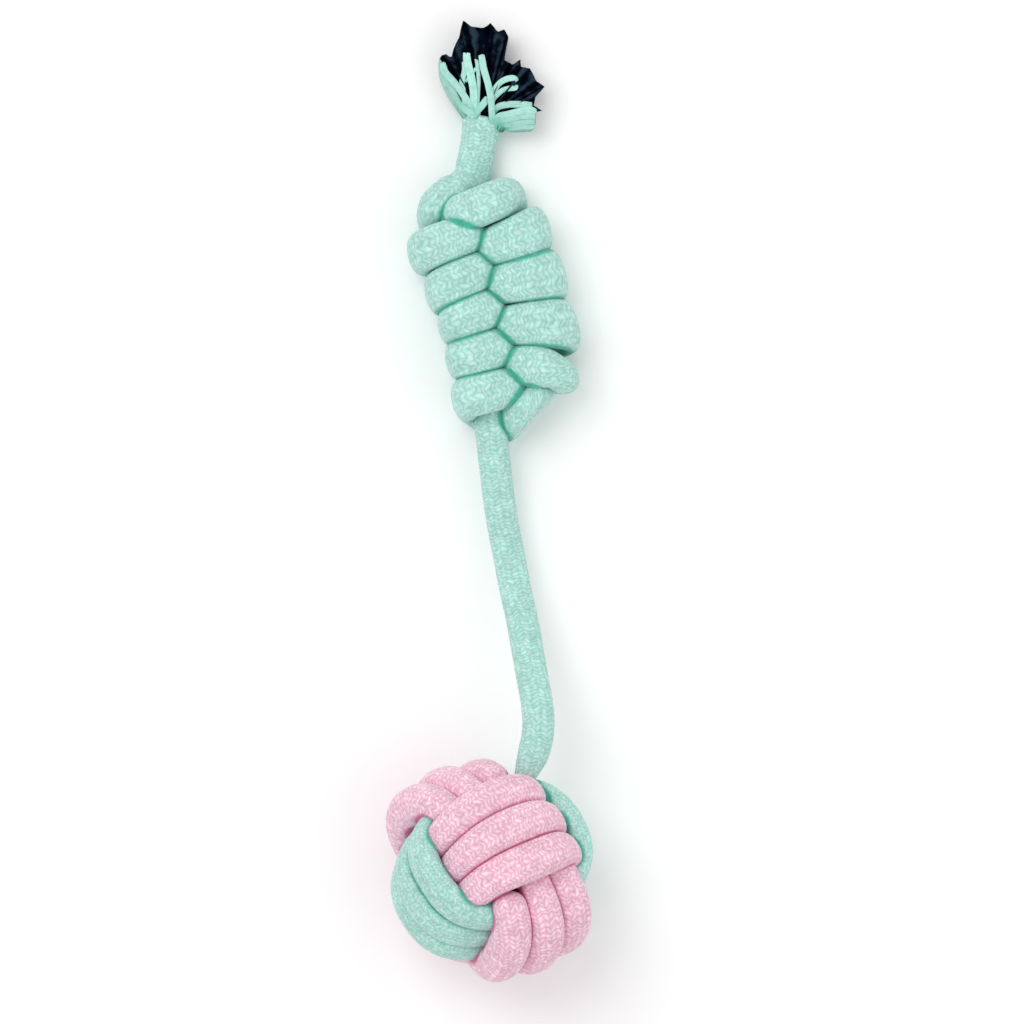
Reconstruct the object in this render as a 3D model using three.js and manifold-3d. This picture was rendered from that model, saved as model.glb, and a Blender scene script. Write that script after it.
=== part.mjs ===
// Rope dog toy: a braided cotton rope with a three-band ball at one end, a wound handle knot at the other
// and a frayed tail past the knot. Millimetres, +Z up. It lies on its back: +Y runs from ball to tail.
import * as THREE from "three";
import { mergeVertices } from "three/addons/utils/BufferGeometryUtils.js";
import Module from "manifold-3d";

const wasm = await Module();
wasm.setup();

// Rope
const ropeDiameter = 12; // mint and pink rope alike
const clearance = 0.3; // between pieces that touch
const sliver = 0.02; // edges of a cut shorter than this are closed up
const turnGap = 0.55; // between neighbouring turns of the ball
const knotTurnGap = 0.7; // between neighbouring turns of the knot, measured where they lie level
const flatDepth = ropeDiameter / 10; // how far the turns are pressed flat where the toy lies on them
const stepsPerTurn = 24;
const woundSides = 6;
const cordSides = 8;
const ribbonSides = 4;

// Ball: three bands of three turns, each band an ellipse that lies over one neighbour and under the other
const ballOverRadius = 33.8; // centre of a turn on the face where it lies on top
const ballUnderRadius = 22.4; // centre of a turn where it passes under the next band
const ballFacePitch = 13.9;
const ballUnderPitch = 11.4;
const ballTurnThickness = 11; // a turn measured outwards from the ball's centre
const ballTurnCount = 3;
const ballLengthen = 0.5; // how much further out the end turns lie: the ball is longer than it is wide
const fillerGap = 0.7; // left round the filler, under the lowest turns
const fillerRadius = ballUnderRadius - ballTurnThickness / 2 - fillerGap;
const ballCentre = new THREE.Vector2(-7.6, -133.4); // seen from above
const fullLength = 360; // from the ball's lowest turn to the tips of the fray, about

// Handle knot: a figure-eight winding round two core legs
const knotCentre = new THREE.Vector2(-5.6, 77.6);
const knotLean = THREE.MathUtils.degToRad(14);
const knotReach = 28; // outermost place of the widest turn
const knotDepth = 12; // centre of a turn on the front and the back
const knotPitch = 14;
const knotSideThickness = 10.4;
const knotCrossThickness = 8.4;
const knotCrossHeight = 6.6; // a turn squeezed between its neighbours where it crosses
const knotWidest = 18.5; // the height that a flattened turn has at most
const knotFlatWidth = 13; // a turn this high is as thick as at the sides, and a higher one is thinner
const legDiameter = 7.4;
const legSpacing = 17.4;
const legTopHeight = 29; // where the legs turn over into their bight

// Shaft and neck: the rope's own routes. The shaft is split where its two halves bend apart
const shaftRoute = [
  [-6.2, 42.5, 16], [-8.1, 33.4, 16], [-7.6, 28, 15.8], [-6.2, 15.8, 14.2], [-4.9, 4.5, 12.6],
  [-3, -6.8, 12.4], [-0.8, -18, 13.8], [1.3, -29.3, 16.8], [3.8, -40.5, 21.2], [5.8, -51.8, 26.6],
  [7.6, -62, 31.6], [9.4, -72, 35.8], [9.9, -80, 38.2],
];
const neckRoute = [
  [-13.1, 136.5, 8], [-12.5, 139.5, 8.1], [-12, 142.4, 8.2], [-11.5, 145.2, 8.4], [-11, 148, 8.6],
];
const shaftSplit = 0.5; // share of the shaft above which it belongs to its upper half
const shaftMouth = 48; // where the shaft runs in between the bands, measured from the ball's centre
const shaftMiddleShare = 1 / 3; // of the way from there to the filler: the route's last point but one
const shaftTuckDiameter = 6; // pressed thin between the bands
const shaftTuckRun = 0.6; // share of the way in, in which the shaft grows thin
const shaftSteps = 26;
const neckSteps = 4;
const legSteps = 34;

// Fray
const mouthBore = 7.6;
const mouthDepth = 8;
const mouthDiameter = 13.4;
const ribbonWidth = 2.1;
const ribbonThickness = 1;
const strandLength = 38; // the longest navy clump, from the mouth to its tip
const clumpThickness = 6.4;
const clumpRootThickness = 2;
const ribbonRootWidth = 1.1;
const clumpStartShare = 0.9; // of the bore: where the clumps begin, measured from the mouth
const clumpTipRun = 0.25; // share of a clump that runs to a point
const clumpTipShare = 0.14; // what is left of its thickness at the point
const yarnRise = { least: 0.2, more: 0.6 }; // how far a yarn runs on before it turns out, in rim radii
const yarnTurn = 0.8; // how far a yarn turns its broad side up on its way out
const yarnOpening = 3; // a yarn is as wide as it gets after one part in this many of its length

const mint = "#bfe6dc";
const pink = "#f0c6d8";
const navy = "#141d2c";
const wadding = "#e9e4da";

const toy = new THREE.Group();
const vector = (x, y, z) => new THREE.Vector3(x, y, z);
const smooth = (t) => THREE.MathUtils.smoothstep(t, 0, 1);

// A closed tube through rings. A ring has a centre, a tangent, an outward direction and two half sizes.
function ringPoints(ring, sides, grow) {
  const across = vector().crossVectors(ring.tangent, ring.outward).normalize();
  const points = [];
  for (let k = 0; k < sides; k += 1) {
    const flat = sides === ribbonSides; // a ribbon stands on its broad side, a rope has a crest outwards
    const angle = ((k + (flat ? 0.5 : 0)) / sides) * Math.PI * 2;
    const corner = flat ? Math.SQRT2 : 1;
    const point = ring.centre.clone();
    point.addScaledVector(ring.outward, (ring.thick + grow) * corner * Math.cos(angle));
    point.addScaledVector(across, (ring.wide + grow) * corner * Math.sin(angle));
    points.push(point);
  }
  return points;
}

function tube(rings, sides, grow = 0) {
  const positions = [];
  for (const ring of rings) {
    for (const point of ringPoints(ring, sides, grow)) positions.push(point.x, point.y, point.z);
  }
  const index = [];
  for (let i = 0; i + 1 < rings.length; i += 1) {
    for (let k = 0; k < sides; k += 1) {
      const next = (k + 1) % sides;
      const a = i * sides + k;
      const b = i * sides + next;
      index.push(a, b, a + sides, b, b + sides, a + sides);
    }
  }
  const last = (rings.length - 1) * sides;
  for (let k = 1; k + 1 < sides; k += 1) {
    index.push(0, k + 1, k);
    index.push(last, last + k, last + k + 1);
  }
  const geometry = new THREE.BufferGeometry();
  geometry.setAttribute("position", new THREE.Float32BufferAttribute(positions, 3));
  geometry.setIndex(index);
  return geometry;
}

// Solids for cutting, and back again
function solid(geometry) {
  const bare = geometry.index ? geometry.toNonIndexed() : geometry.clone();
  bare.deleteAttribute("normal");
  bare.deleteAttribute("uv");
  const merged = mergeVertices(bare);
  return new wasm.Manifold(
    new wasm.Mesh({
      numProp: 3,
      vertProperties: merged.attributes.position.array,
      triVerts: new Uint32Array(merged.index.array),
    }),
  );
}

function geometryOf(made) {
  const mesh = made.getMesh();
  const geometry = new THREE.BufferGeometry();
  geometry.setAttribute("position", new THREE.BufferAttribute(mesh.vertProperties, mesh.numProp));
  geometry.setIndex(new THREE.BufferAttribute(mesh.triVerts, 1));
  return geometry;
}

// The least gap between points of one wound tube that lie more than one and a half diameters apart along it
const apartAlong = ropeDiameter * 1.5;
const farApart = ropeDiameter * 2;
function leastGap(rings, sides) {
  const along = [0];
  for (let i = 1; i < rings.length; i += 1) {
    along.push(along[i - 1] + rings[i].centre.distanceTo(rings[i - 1].centre));
  }
  const points = rings.map((ring) => ringPoints(ring, sides, 0));
  let least = Infinity;
  for (let i = 0; i < rings.length; i += 1) {
    for (let j = i + 1; j < rings.length; j += 1) {
      if (along[j] - along[i] < apartAlong) continue;
      if (rings[i].centre.distanceTo(rings[j].centre) > farApart) continue;
      for (const a of points[i]) {
        for (const b of points[j]) least = Math.min(least, a.distanceTo(b));
      }
    }
  }
  return least;
}

function add(name, geometry, colour) {
  const material = new THREE.MeshStandardMaterial({ color: colour, roughness: 0.95, metalness: 0 });
  const mesh = new THREE.Mesh(geometry, material);
  mesh.name = name;
  toy.add(mesh);
}

// Ball. A band has three axes of its own: along its long radius, its short radius and its stack
const ballFront = vector(0.26, 0.5, 0.826).normalize();
const strandSlope = THREE.MathUtils.degToRad(32);
const strandPlan = vector(Math.cos(strandSlope), Math.sin(strandSlope), 0);
const ballRight = strandPlan.clone().addScaledVector(ballFront, -strandPlan.dot(ballFront)).normalize();
const ballTop = vector().crossVectors(ballFront, ballRight);
const bandStart = THREE.MathUtils.degToRad(55);
const bandShift = THREE.MathUtils.degToRad(65); // the stretch in which a turn moves over into the next lane
const fullTurn = Math.PI * 2;
const laneDropShare = 0.07; // how much nearer the middle the outer turns of a band lie
const bulgeShare = 0.08; // how much further out than on an ellipse a turn lies between its faces

function bandLane(angle) {
  let lane = 1;
  for (let k = 1; k < ballTurnCount; k += 1) {
    lane -= smooth((bandStart - angle - fullTurn * k + bandShift) / bandShift);
  }
  return lane;
}

function bandPlace(axes, centre, angle) {
  const lane = bandLane(angle);
  const face = Math.cos(angle) ** 2;
  const pitch = ballUnderPitch + (ballFacePitch - ballUnderPitch) * face;
  const over = (ballOverRadius + axes.swell) * (1 - laneDropShare * lane * lane);
  const bulge = bulgeShare * Math.sin(2 * angle) ** 2 + 1;
  const place = centre.clone();
  place.addScaledVector(axes.long, over * bulge * Math.cos(angle));
  place.addScaledVector(axes.short, ballUnderRadius * bulge * Math.sin(angle));
  place.addScaledVector(axes.stack, pitch * lane);
  return place;
}

function bandRings(axes, centre) {
  const rings = [];
  const finish = bandStart - fullTurn * ballTurnCount + bandShift;
  const steps = Math.round(((bandStart - finish) / fullTurn) * stepsPerTurn);
  const nudge = fullTurn / stepsPerTurn / stepsPerTurn;
  for (let i = 0; i <= steps; i += 1) {
    const angle = bandStart + ((finish - bandStart) * i) / steps;
    const ahead = bandPlace(axes, centre, angle - nudge);
    const tangent = ahead.sub(bandPlace(axes, centre, angle + nudge)).normalize();
    const normal = axes.long.clone().multiplyScalar(Math.cos(angle) / ballOverRadius);
    normal.addScaledVector(axes.short, Math.sin(angle) / ballUnderRadius);
    normal.addScaledVector(tangent, -normal.dot(tangent)).normalize();
    const pitch = ballUnderPitch + (ballFacePitch - ballUnderPitch) * Math.cos(angle) ** 2;
    const lean = Math.abs(tangent.dot(axes.stack));
    const wide = (pitch * Math.sqrt(1 - lean * lean) - turnGap) / 2 / Math.cos(Math.PI / woundSides);
    const place = bandPlace(axes, centre, angle);
    rings.push({ centre: place, tangent, outward: normal, thick: ballTurnThickness / 2, wide });
  }
  return straightEnds(rings);
}

// The last rope diameter at each end of a wound tube runs straight
function straightEnds(rings) {
  for (const order of [rings, rings.slice().reverse()]) {
    let base = 0;
    while (order[base].centre.distanceTo(order[0].centre) < ropeDiameter) base += 1;
    const hold = order[base];
    const way = Math.sign(order[0].centre.clone().sub(hold.centre).dot(hold.tangent));
    for (let i = 0; i < base; i += 1) {
      const reach = order[i].centre.distanceTo(hold.centre);
      order[i].centre = hold.centre.clone().addScaledVector(hold.tangent, way * reach);
      order[i].tangent = hold.tangent.clone();
      order[i].outward = hold.outward.clone();
      order[i].wide = Math.min(order[i].wide, hold.wide);
    }
  }
  return rings;
}

const bands = {
  ball_pink_front_turns: { long: ballFront, short: ballRight, stack: ballTop, swell: 0 },
  ball_mint_turns: { long: ballRight, short: ballTop, stack: ballFront, swell: 0 },
  ball_pink_end_turns: { long: ballTop, short: ballFront, stack: ballRight, swell: ballLengthen },
};

function lowestPoint(rings, sides) {
  let lowest = Infinity;
  for (const ring of rings) {
    for (const point of ringPoints(ring, sides, 0)) lowest = Math.min(lowest, point.z);
  }
  return lowest;
}

const flatBall = Object.values(bands).map((axes) => lowestPoint(bandRings(axes, vector()), woundSides));
const ballMiddle = vector(ballCentre.x, ballCentre.y, -Math.min(...flatBall) - flatDepth);

// Knot. The winding crosses between the legs twice in each pitch and lies on the floor with its back
const knotAxis = vector(-Math.sin(knotLean), Math.cos(knotLean), 0);
const knotSide = vector(Math.cos(knotLean), Math.sin(knotLean), 0);
const up = vector(0, 0, 1);
const legHalf = legSpacing / 2;
const windStart = THREE.MathUtils.degToRad(-55);
const windFinish = THREE.MathUtils.degToRad(1785);

// Half turns from the lowest on the right to the highest on the left: heights of the side and of the
// crossing after it, as shares of the pitch, and the reach of the side, as a share of the widest
const windShares = [
  [-2.68, -3.14, 0.52], [-2.28, -2.21, 0.9], [-2.31, -1.63, 0.84], [-1.19, -1.11, 0.85],
  [-0.99, -0.56, 1], [-0.26, 0, 0.84], [0.41, 0.54, 1], [0.69, 1.07, 0.9], [1.7, 1.57, 0.95],
  [1.85, 2.11, 1], [2.74, 2.6, 0.77], [2.76, 3.14, 0.66], [3.64, 3.57, 0.66],
];
// The last crossing lies to one side: moved over by a share of half the legs' spacing
const lastCrossing = { turns: 4.75, spreadTurns: 0.36, shiftShare: 0.92 };
const crossSharpness = 8; // the higher, the shorter the stretch in which a turn is squeezed
const depthSquareness = 0.75; // the lower, the squarer the turn seen from above

// From the foot of the right leg into the winding, and out of it to the neck: side as a share of half
// the legs' spacing, height as a share of the pitch, depth as a share of the knot's depth
const leadShares = [
  [1, -1.79, 0], [1, -2.07, 0], [1, -2.36, 0], [1.12, -2.58, 0.4], [0.8, -2.75, 0.68],
  [0.2, -2.9, 0.66], [-0.5, -3.08, 0.2], [-0.95, -3.12, -0.45],
];
const tailShares = [[-1.42, 3.02, 0.12], [-0.75, 3.26, 0.02]];

// A cubic through values an even step apart, its slopes those of the chords beside each value
function splineAt(values, place) {
  const i = Math.min(Math.max(Math.floor(place), 0), values.length - 2);
  const t = place - i;
  const slope = (k) => {
    const low = Math.max(k - 1, 0);
    const high = Math.min(k + 1, values.length - 1);
    return (values[high] - values[low]) / (high - low);
  };
  const rise = t * t * (3 - 2 * t);
  const bend = t * (1 - t) ** 2 * slope(i) - t * t * (1 - t) * slope(i + 1);
  return values[i] + (values[i + 1] - values[i]) * rise + bend;
}

const quarterShares = windShares.flatMap(([side, crossing]) => [side, crossing]);
const heightShares = [
  ...quarterShares.slice(0, 4).map((share) => share - 1),
  ...quarterShares,
  ...quarterShares.slice(-4).map((share) => share + 1),
];
const reachShares = windShares.map(([, , share]) => share);

// The first row lies half a turn before the angle zero, and the heights begin a whole turn before it
const quarter = fullTurn / 4;
const half = fullTurn / 2;
const windAxial = (angle) => knotPitch * splineAt(heightShares, (angle + half + fullTurn) / quarter);
const windReach = (angle) => knotReach * splineAt(reachShares, (angle + half) / half);

function windSize(angle) {
  const above = windAxial(angle + fullTurn) - windAxial(angle);
  const below = windAxial(angle) - windAxial(angle - fullTurn);
  const high = Math.min(above, below, knotWidest);
  const cross = Math.abs(Math.sin(angle)) ** crossSharpness;
  const thin = (knotSideThickness * knotFlatWidth) / high;
  const thick = Math.min(Math.max(thin, knotCrossThickness), knotSideThickness);
  return { thick: thick + (knotCrossThickness - thick) * cross, high, cross };
}

function windPlace(angle) {
  const near = smooth(1 - Math.abs(angle / fullTurn - lastCrossing.turns) / lastCrossing.spreadTurns);
  const reach = windReach(angle) - windSize(angle).thick / 2;
  const double = Math.sin(2 * angle);
  return {
    side: -reach * Math.cos(angle) - lastCrossing.shiftShare * legHalf * near,
    depth: knotDepth * Math.sign(double) * Math.abs(double) ** depthSquareness,
    axial: windAxial(angle),
  };
}

function knotPoint(place, height) {
  const point = vector(knotCentre.x, knotCentre.y, height + place.depth);
  return point.addScaledVector(knotSide, place.side).addScaledVector(knotAxis, place.axial);
}

const sharedPoint = ([side, axial, depth], height) =>
  knotPoint({ side: side * legHalf, axial: axial * knotPitch, depth: depth * knotDepth }, height);

function windRings(height) {
  const rings = [];
  const steps = Math.round(((windFinish - windStart) / fullTurn) * stepsPerTurn);
  const nudge = fullTurn / stepsPerTurn / stepsPerTurn;
  for (let i = 0; i <= steps; i += 1) {
    const angle = windStart + ((windFinish - windStart) * i) / steps;
    const before = knotPoint(windPlace(angle - nudge), height);
    const after = knotPoint(windPlace(angle + nudge), height);
    const tangent = after.sub(before).normalize();
    const outward = vector().crossVectors(tangent, knotAxis).normalize();
    const { thick, high, cross } = windSize(angle);
    const lean = tangent.dot(knotAxis);
    const level = high * Math.sqrt(1 - lean * lean) - knotTurnGap;
    rings.push({
      centre: knotPoint(windPlace(angle), height),
      tangent,
      outward: outward.multiplyScalar(Math.cos(angle) >= 0 ? 1 : -1),
      thick: thick / 2,
      wide: (level + (knotCrossHeight - level) * cross) / 2 / Math.cos(Math.PI / woundSides),
    });
  }
  return rings;
}

const flatKnot = lowestPoint(windRings(0), woundSides);
const knotHeight = -flatKnot - flatDepth;

// The rope that leads in and out, through its points, its sizes going over into the winding's
function joinRings(points, begin, finish) {
  const curve = new THREE.CatmullRomCurve3([...points, finish.centre], false, "centripetal");
  return points.map((centre, i) => {
    const share = i / points.length;
    const tangent = curve.getTangent(share).normalize();
    const outward = begin.outward.clone().lerp(finish.outward, share);
    outward.addScaledVector(tangent, -outward.dot(tangent)).normalize();
    const size = (key) => begin[key] + (finish[key] - begin[key]) * share;
    return { centre, tangent, outward, thick: size("thick"), wide: size("wide") };
  });
}

function knotWhole(height) {
  const winding = windRings(height);
  const first = winding[0];
  const last = winding[winding.length - 1];
  const legRing = { outward: knotSide.clone(), thick: legDiameter / 2, wide: legDiameter / 2 };
  const lead = joinRings(leadShares.map((row) => sharedPoint(row, height)), legRing, first);
  const neckStart = vector(...neckRoute[0]);
  const neckWay = vector(...neckRoute[1]).sub(neckStart).normalize();
  const neckRing = { outward: up.clone(), thick: ropeDiameter / 2, wide: ropeDiameter / 2 };
  const straight = [ropeDiameter, ropeDiameter / 2, clearance].map((distance) => {
    return { ...neckRing, centre: neckStart.clone().addScaledVector(neckWay, -distance), tangent: neckWay };
  });
  const tailPoints = [last.centre, ...tailShares.map((row) => sharedPoint(row, height))];
  const tail = joinRings(tailPoints, last, straight[0]).slice(1);
  return [...lead, ...winding, ...tail, ...straight];
}

// Rings along a smooth route, with a steady outward direction that starts upwards
function routeRings(points, steps, diameterAt) {
  const curve = new THREE.CatmullRomCurve3(points, false, "centripetal");
  const rings = [];
  for (let i = 0; i <= steps; i += 1) {
    const tangent = curve.getTangentAt(i / steps).normalize();
    const outward = up.clone().addScaledVector(tangent, -up.dot(tangent)).normalize();
    const half = diameterAt(i / steps) / 2;
    rings.push({ centre: curve.getPointAt(i / steps), tangent, outward, thick: half, wide: half });
  }
  return rings;
}

const routePoints = (route) => route.map(([x, y, z]) => vector(x, y, z));

// Pieces of both ends, cut by their neighbours where the real rope is squeezed
const floorSize = fullLength * 2;
const floorCut = new THREE.BoxGeometry(floorSize, floorSize, floorSize);
floorCut.translate(0, 0, -floorSize / 2);
const floorSolid = solid(floorCut);

const ballRings = {};
for (const [name, axes] of Object.entries(bands)) ballRings[name] = bandRings(axes, ballMiddle);
const knotRings = knotWhole(knotHeight);
console.log("least gap of the knot winding to itself", leastGap(knotRings, woundSides).toFixed(2), "mm");

// What is left of a piece when its neighbours and their clearance are taken away: its largest body
function carve(made, cutters) {
  let left = made;
  for (const cutter of cutters) left = left.subtract(cutter);
  const largest = (body) => body.decompose().sort((a, b) => b.volume() - a.volume())[0];
  const clean = largest(left).simplify(sliver);
  return largest(solid(geometryOf(clean))); // once more, as points that all but meet have met
}

const ballCutters = [];
for (const [name, rings] of Object.entries(ballRings)) {
  console.log("least gap of", name, "to itself", leastGap(rings, woundSides).toFixed(2), "mm");
  const made = carve(solid(tube(rings, woundSides)).subtract(floorSolid), ballCutters);
  ballCutters.push(solid(tube(rings, woundSides, clearance)));
  add(name, geometryOf(made), name === "ball_mint_turns" ? mint : pink);
}
const fillerDetail = 3; // times the filler's faces are divided
const filler = new THREE.IcosahedronGeometry(fillerRadius, fillerDetail);
filler.translate(ballMiddle.x, ballMiddle.y, ballMiddle.z);

// Shaft
const corner = vector().add(ballFront).add(ballRight).add(ballTop).normalize();
const shaftIn = ballMiddle.clone().addScaledVector(corner, shaftMouth);
const shaftPoints = [...routePoints(shaftRoute), shaftIn];
const shaftEnd = ballMiddle.clone().addScaledVector(corner, fillerRadius + clearance);
shaftPoints.push(shaftIn.clone().lerp(shaftEnd, shaftMiddleShare), shaftEnd);
const shaftCurve = new THREE.CatmullRomCurve3(shaftPoints, false, "centripetal");
const shaftLength = shaftCurve.getLength();
const tuckShare = 1 - (shaftMouth - fillerRadius) / shaftLength;
function shaftDiameter(share) {
  const inward = smooth((share - tuckShare) / (1 - tuckShare) / shaftTuckRun);
  return ropeDiameter + (shaftTuckDiameter - ropeDiameter) * inward;
}
const shaftRings = routeRings(shaftPoints, shaftSteps, shaftDiameter);
const splitStep = Math.round(shaftSteps * shaftSplit);
const upperRings = shaftRings.slice(0, splitStep + 1);
const lowerRings = shaftRings.slice(splitStep);
lowerRings[0] = { ...lowerRings[0] };
lowerRings[0].centre = lowerRings[0].centre.clone().addScaledVector(lowerRings[0].tangent, clearance);
add("shaft_upper", tube(upperRings, cordSides), mint);
add("shaft_lower", geometryOf(carve(solid(tube(lowerRings, cordSides)), ballCutters)), mint);
ballCutters.push(solid(tube(lowerRings, cordSides, clearance)));
add("ball_filler", geometryOf(carve(solid(filler), ballCutters)), wadding);

// Knot winding and the core legs that it is wound on
const upperCutter = solid(tube(upperRings, cordSides, clearance));
const windingSolid = carve(solid(tube(knotRings, woundSides)), [floorSolid, upperCutter]);
add("handle_winding", geometryOf(windingSolid), mint);
const shaftHead = vector(...shaftRoute[0]);
const legFoot = leadShares[0][1] * knotPitch + clearance; // where the winding's rope leaves the right leg
const legPoints = [shaftHead.clone().addScaledVector(shaftRings[0].tangent, -clearance)];
const legPlace = (side, axial) => knotPoint({ side, depth: 0, axial }, knotHeight);
for (const axial of [legFoot, 0, legTopHeight]) legPoints.push(legPlace(-legHalf, axial));
for (const angle of [half / 4, half / 2, (half * 3) / 4]) {
  legPoints.push(legPlace(-legHalf * Math.cos(angle), legTopHeight + legHalf * Math.sin(angle)));
}
for (const axial of [legTopHeight, 0, legFoot]) legPoints.push(legPlace(legHalf, axial));
const legSize = (share) => (share < 1 / legSteps ? ropeDiameter : legDiameter);
const legRings = routeRings(legPoints, legSteps, legSize);
const windingCutter = solid(tube(knotRings, woundSides, clearance));
const legSolid = carve(solid(tube(legRings, cordSides)), [upperCutter, windingCutter]);
add("handle_core_legs", geometryOf(legSolid), mint);

// Neck: the sheath with its open mouth, and the core inside it
const neckPoints = routePoints(neckRoute);
const neckSize = (share) => ropeDiameter + (mouthDiameter - ropeDiameter) * share ** 2;
const neckRings = routeRings(neckPoints, neckSteps, neckSize);
const mouth = neckRings[neckRings.length - 1];
const bore = [0, 1].map((end) => ({
  ...mouth,
  centre: mouth.centre.clone().addScaledVector(mouth.tangent, end ? clearance : -mouthDepth),
  thick: mouthBore / 2,
  wide: mouthBore / 2,
}));
const sheath = solid(tube(neckRings, cordSides)).subtract(solid(tube(bore, cordSides)));
add("neck_sheath", geometryOf(sheath), mint);
const stump = bore.map((ring, end) => ({
  ...ring,
  centre: ring.centre.clone().addScaledVector(mouth.tangent, end ? -clearance * 2 : clearance),
  thick: mouthBore / 2 - clearance,
  wide: mouthBore / 2 - clearance,
}));
add("neck_core", tube(stump, cordSides), navy);

// Fray. A fan angle turns from the neck's direction towards the toy's right
const fanRight = vector().crossVectors(mouth.tangent, mouth.outward).normalize();
const fanPlace = (radius, fan, lift) =>
  mouth.centre
    .clone()
    .addScaledVector(mouth.tangent, radius * Math.cos(fan))
    .addScaledVector(fanRight, radius * Math.sin(fan))
    .addScaledVector(mouth.outward, lift);

// Navy core clumps: rows of fan angle in degrees and length as a share of the longest
const clumpShares = {
  front: [[-24, 0.78], [-11, 1], [2, 0.95], [15, 0.9], [30, 0.71], [45, 0.67], [61, 0.68]],
  back: [[-17, 0.84], [-4, 0.92], [9, 0.9], [22, 0.66], [38, 0.7], [53, 0.66], [73, 0.58]],
};
const clumpHalfFan = THREE.MathUtils.degToRad(5.6);
const clumpStart = mouthBore * clumpStartShare;
const clumpSteps = 5;
for (const [layer, rows] of Object.entries(clumpShares)) {
  const side = layer === "front" ? 1 : -1;
  rows.forEach(([degrees, lengthShare], number) => {
    const fan = THREE.MathUtils.degToRad(degrees);
    const length = strandLength * lengthShare;
    const rings = [];
    for (let i = 0; i <= clumpSteps; i += 1) {
      const share = i / clumpSteps;
      const radius = clumpStart + (length - clumpStart) * share;
      const taper = 1 - Math.max(0, 1 - (1 - share) / clumpTipRun) * (1 - clumpTipShare);
      const thick = (clumpRootThickness + (clumpThickness - clumpRootThickness) * share) / 2;
      const lift = side * (thick + clearance + (side > 0 ? share * thick : 0));
      const centre = fanPlace(radius, fan, lift);
      const tangent = fanPlace(radius + thick, fan, lift).sub(centre).normalize();
      const wide = radius * Math.tan(clumpHalfFan) * taper;
      rings.push({ centre, tangent, outward: mouth.outward, thick: thick * taper, wide });
    }
    add(`core_clump_${layer}_${number + 1}`, tube(rings, woundSides), navy);
  });
}

// Sheath yarns: rows of place round the rim in degrees from the front, fan angle of the end in degrees,
// length as a share of the longest clump, and lift of the end as a share of a clump's thickness
const yarnShares = [
  [-78, -42, 0.64, 1.0], [-60, -36, 0.7, 1.55], [-44, -31, 0.56, 1.7], [-27, -19, 0.6, 1.95],
  [-11, -9, 0.66, 2.2], [5, 0, 0.6, 2.0], [22, 10, 0.64, 2.4], [38, 33, 0.5, 2.5],
  [56, 52, 0.45, 1.9], [72, 72, 0.52, 1.5], [87, 84, 0.5, 1.1], [102, 93, 0.5, 0.6],
  [119, 106, 0.47, -0.05], [142, 62, 0.5, -0.95], [168, 25, 0.5, -1.05], [-164, -12, 0.52, -1.05],
  [-136, -34, 0.5, -0.95], [-104, -49, 0.5, 0.2],
];
const yarnSteps = 8;
const rimRadius = mouthDiameter / 2 - ribbonThickness / 2 - clearance;
yarnShares.forEach(([rimDegrees, fanDegrees, lengthShare, liftShare], number) => {
  const rim = THREE.MathUtils.degToRad(rimDegrees);
  const fan = THREE.MathUtils.degToRad(fanDegrees);
  const root = mouth.centre
    .clone()
    .addScaledVector(mouth.tangent, clearance)
    .addScaledVector(fanRight, rimRadius * Math.sin(rim))
    .addScaledVector(mouth.outward, rimRadius * Math.cos(rim));
  const length = strandLength * lengthShare;
  const end = fanPlace(length, fan, liftShare * clumpThickness);
  const forward = yarnRise.least + yarnRise.more * Math.max(0, Math.cos(fan)) ** 2;
  const bend = root.clone().addScaledVector(mouth.tangent, rimRadius * forward);
  const lift = fanRight.clone().multiplyScalar(Math.sin(rim)).addScaledVector(mouth.outward, Math.cos(rim));
  const curve = new THREE.QuadraticBezierCurve3(root, bend, end);
  const rings = [];
  for (let i = 0; i <= yarnSteps; i += 1) {
    const share = i / yarnSteps;
    const tangent = curve.getTangentAt(share).normalize();
    const facing = lift.clone().lerp(mouth.outward, share * yarnTurn);
    const outward = facing.addScaledVector(tangent, -facing.dot(tangent)).normalize();
    const centre = curve.getPointAt(share);
    const wide = (ribbonRootWidth + (ribbonWidth - ribbonRootWidth) * smooth(share * yarnOpening)) / 2;
    rings.push({ centre, tangent, outward, thick: ribbonThickness / 2, wide });
  }
  const name = `sheath_yarn_${String(number + 1).padStart(2, "0")}`;
  add(name, tube(rings, ribbonSides), mint);
});

// The toy stands with its middle over the origin and its back on the floor
toy.updateMatrixWorld(true);
const box = new THREE.Box3().setFromObject(toy);
toy.position.set(-(box.min.x + box.max.x) / 2, -(box.min.y + box.max.y) / 2, -box.min.z);
const printed = (place) => place.toArray().map((value) => value.toFixed(2)).join(" ");
console.log("box", printed(box.min), "to", printed(box.max));
console.log("moved by", printed(toy.position));
console.log("ball centre", printed(ballMiddle), "knot height", knotHeight.toFixed(2));

export default toy;
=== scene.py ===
import math

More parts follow.
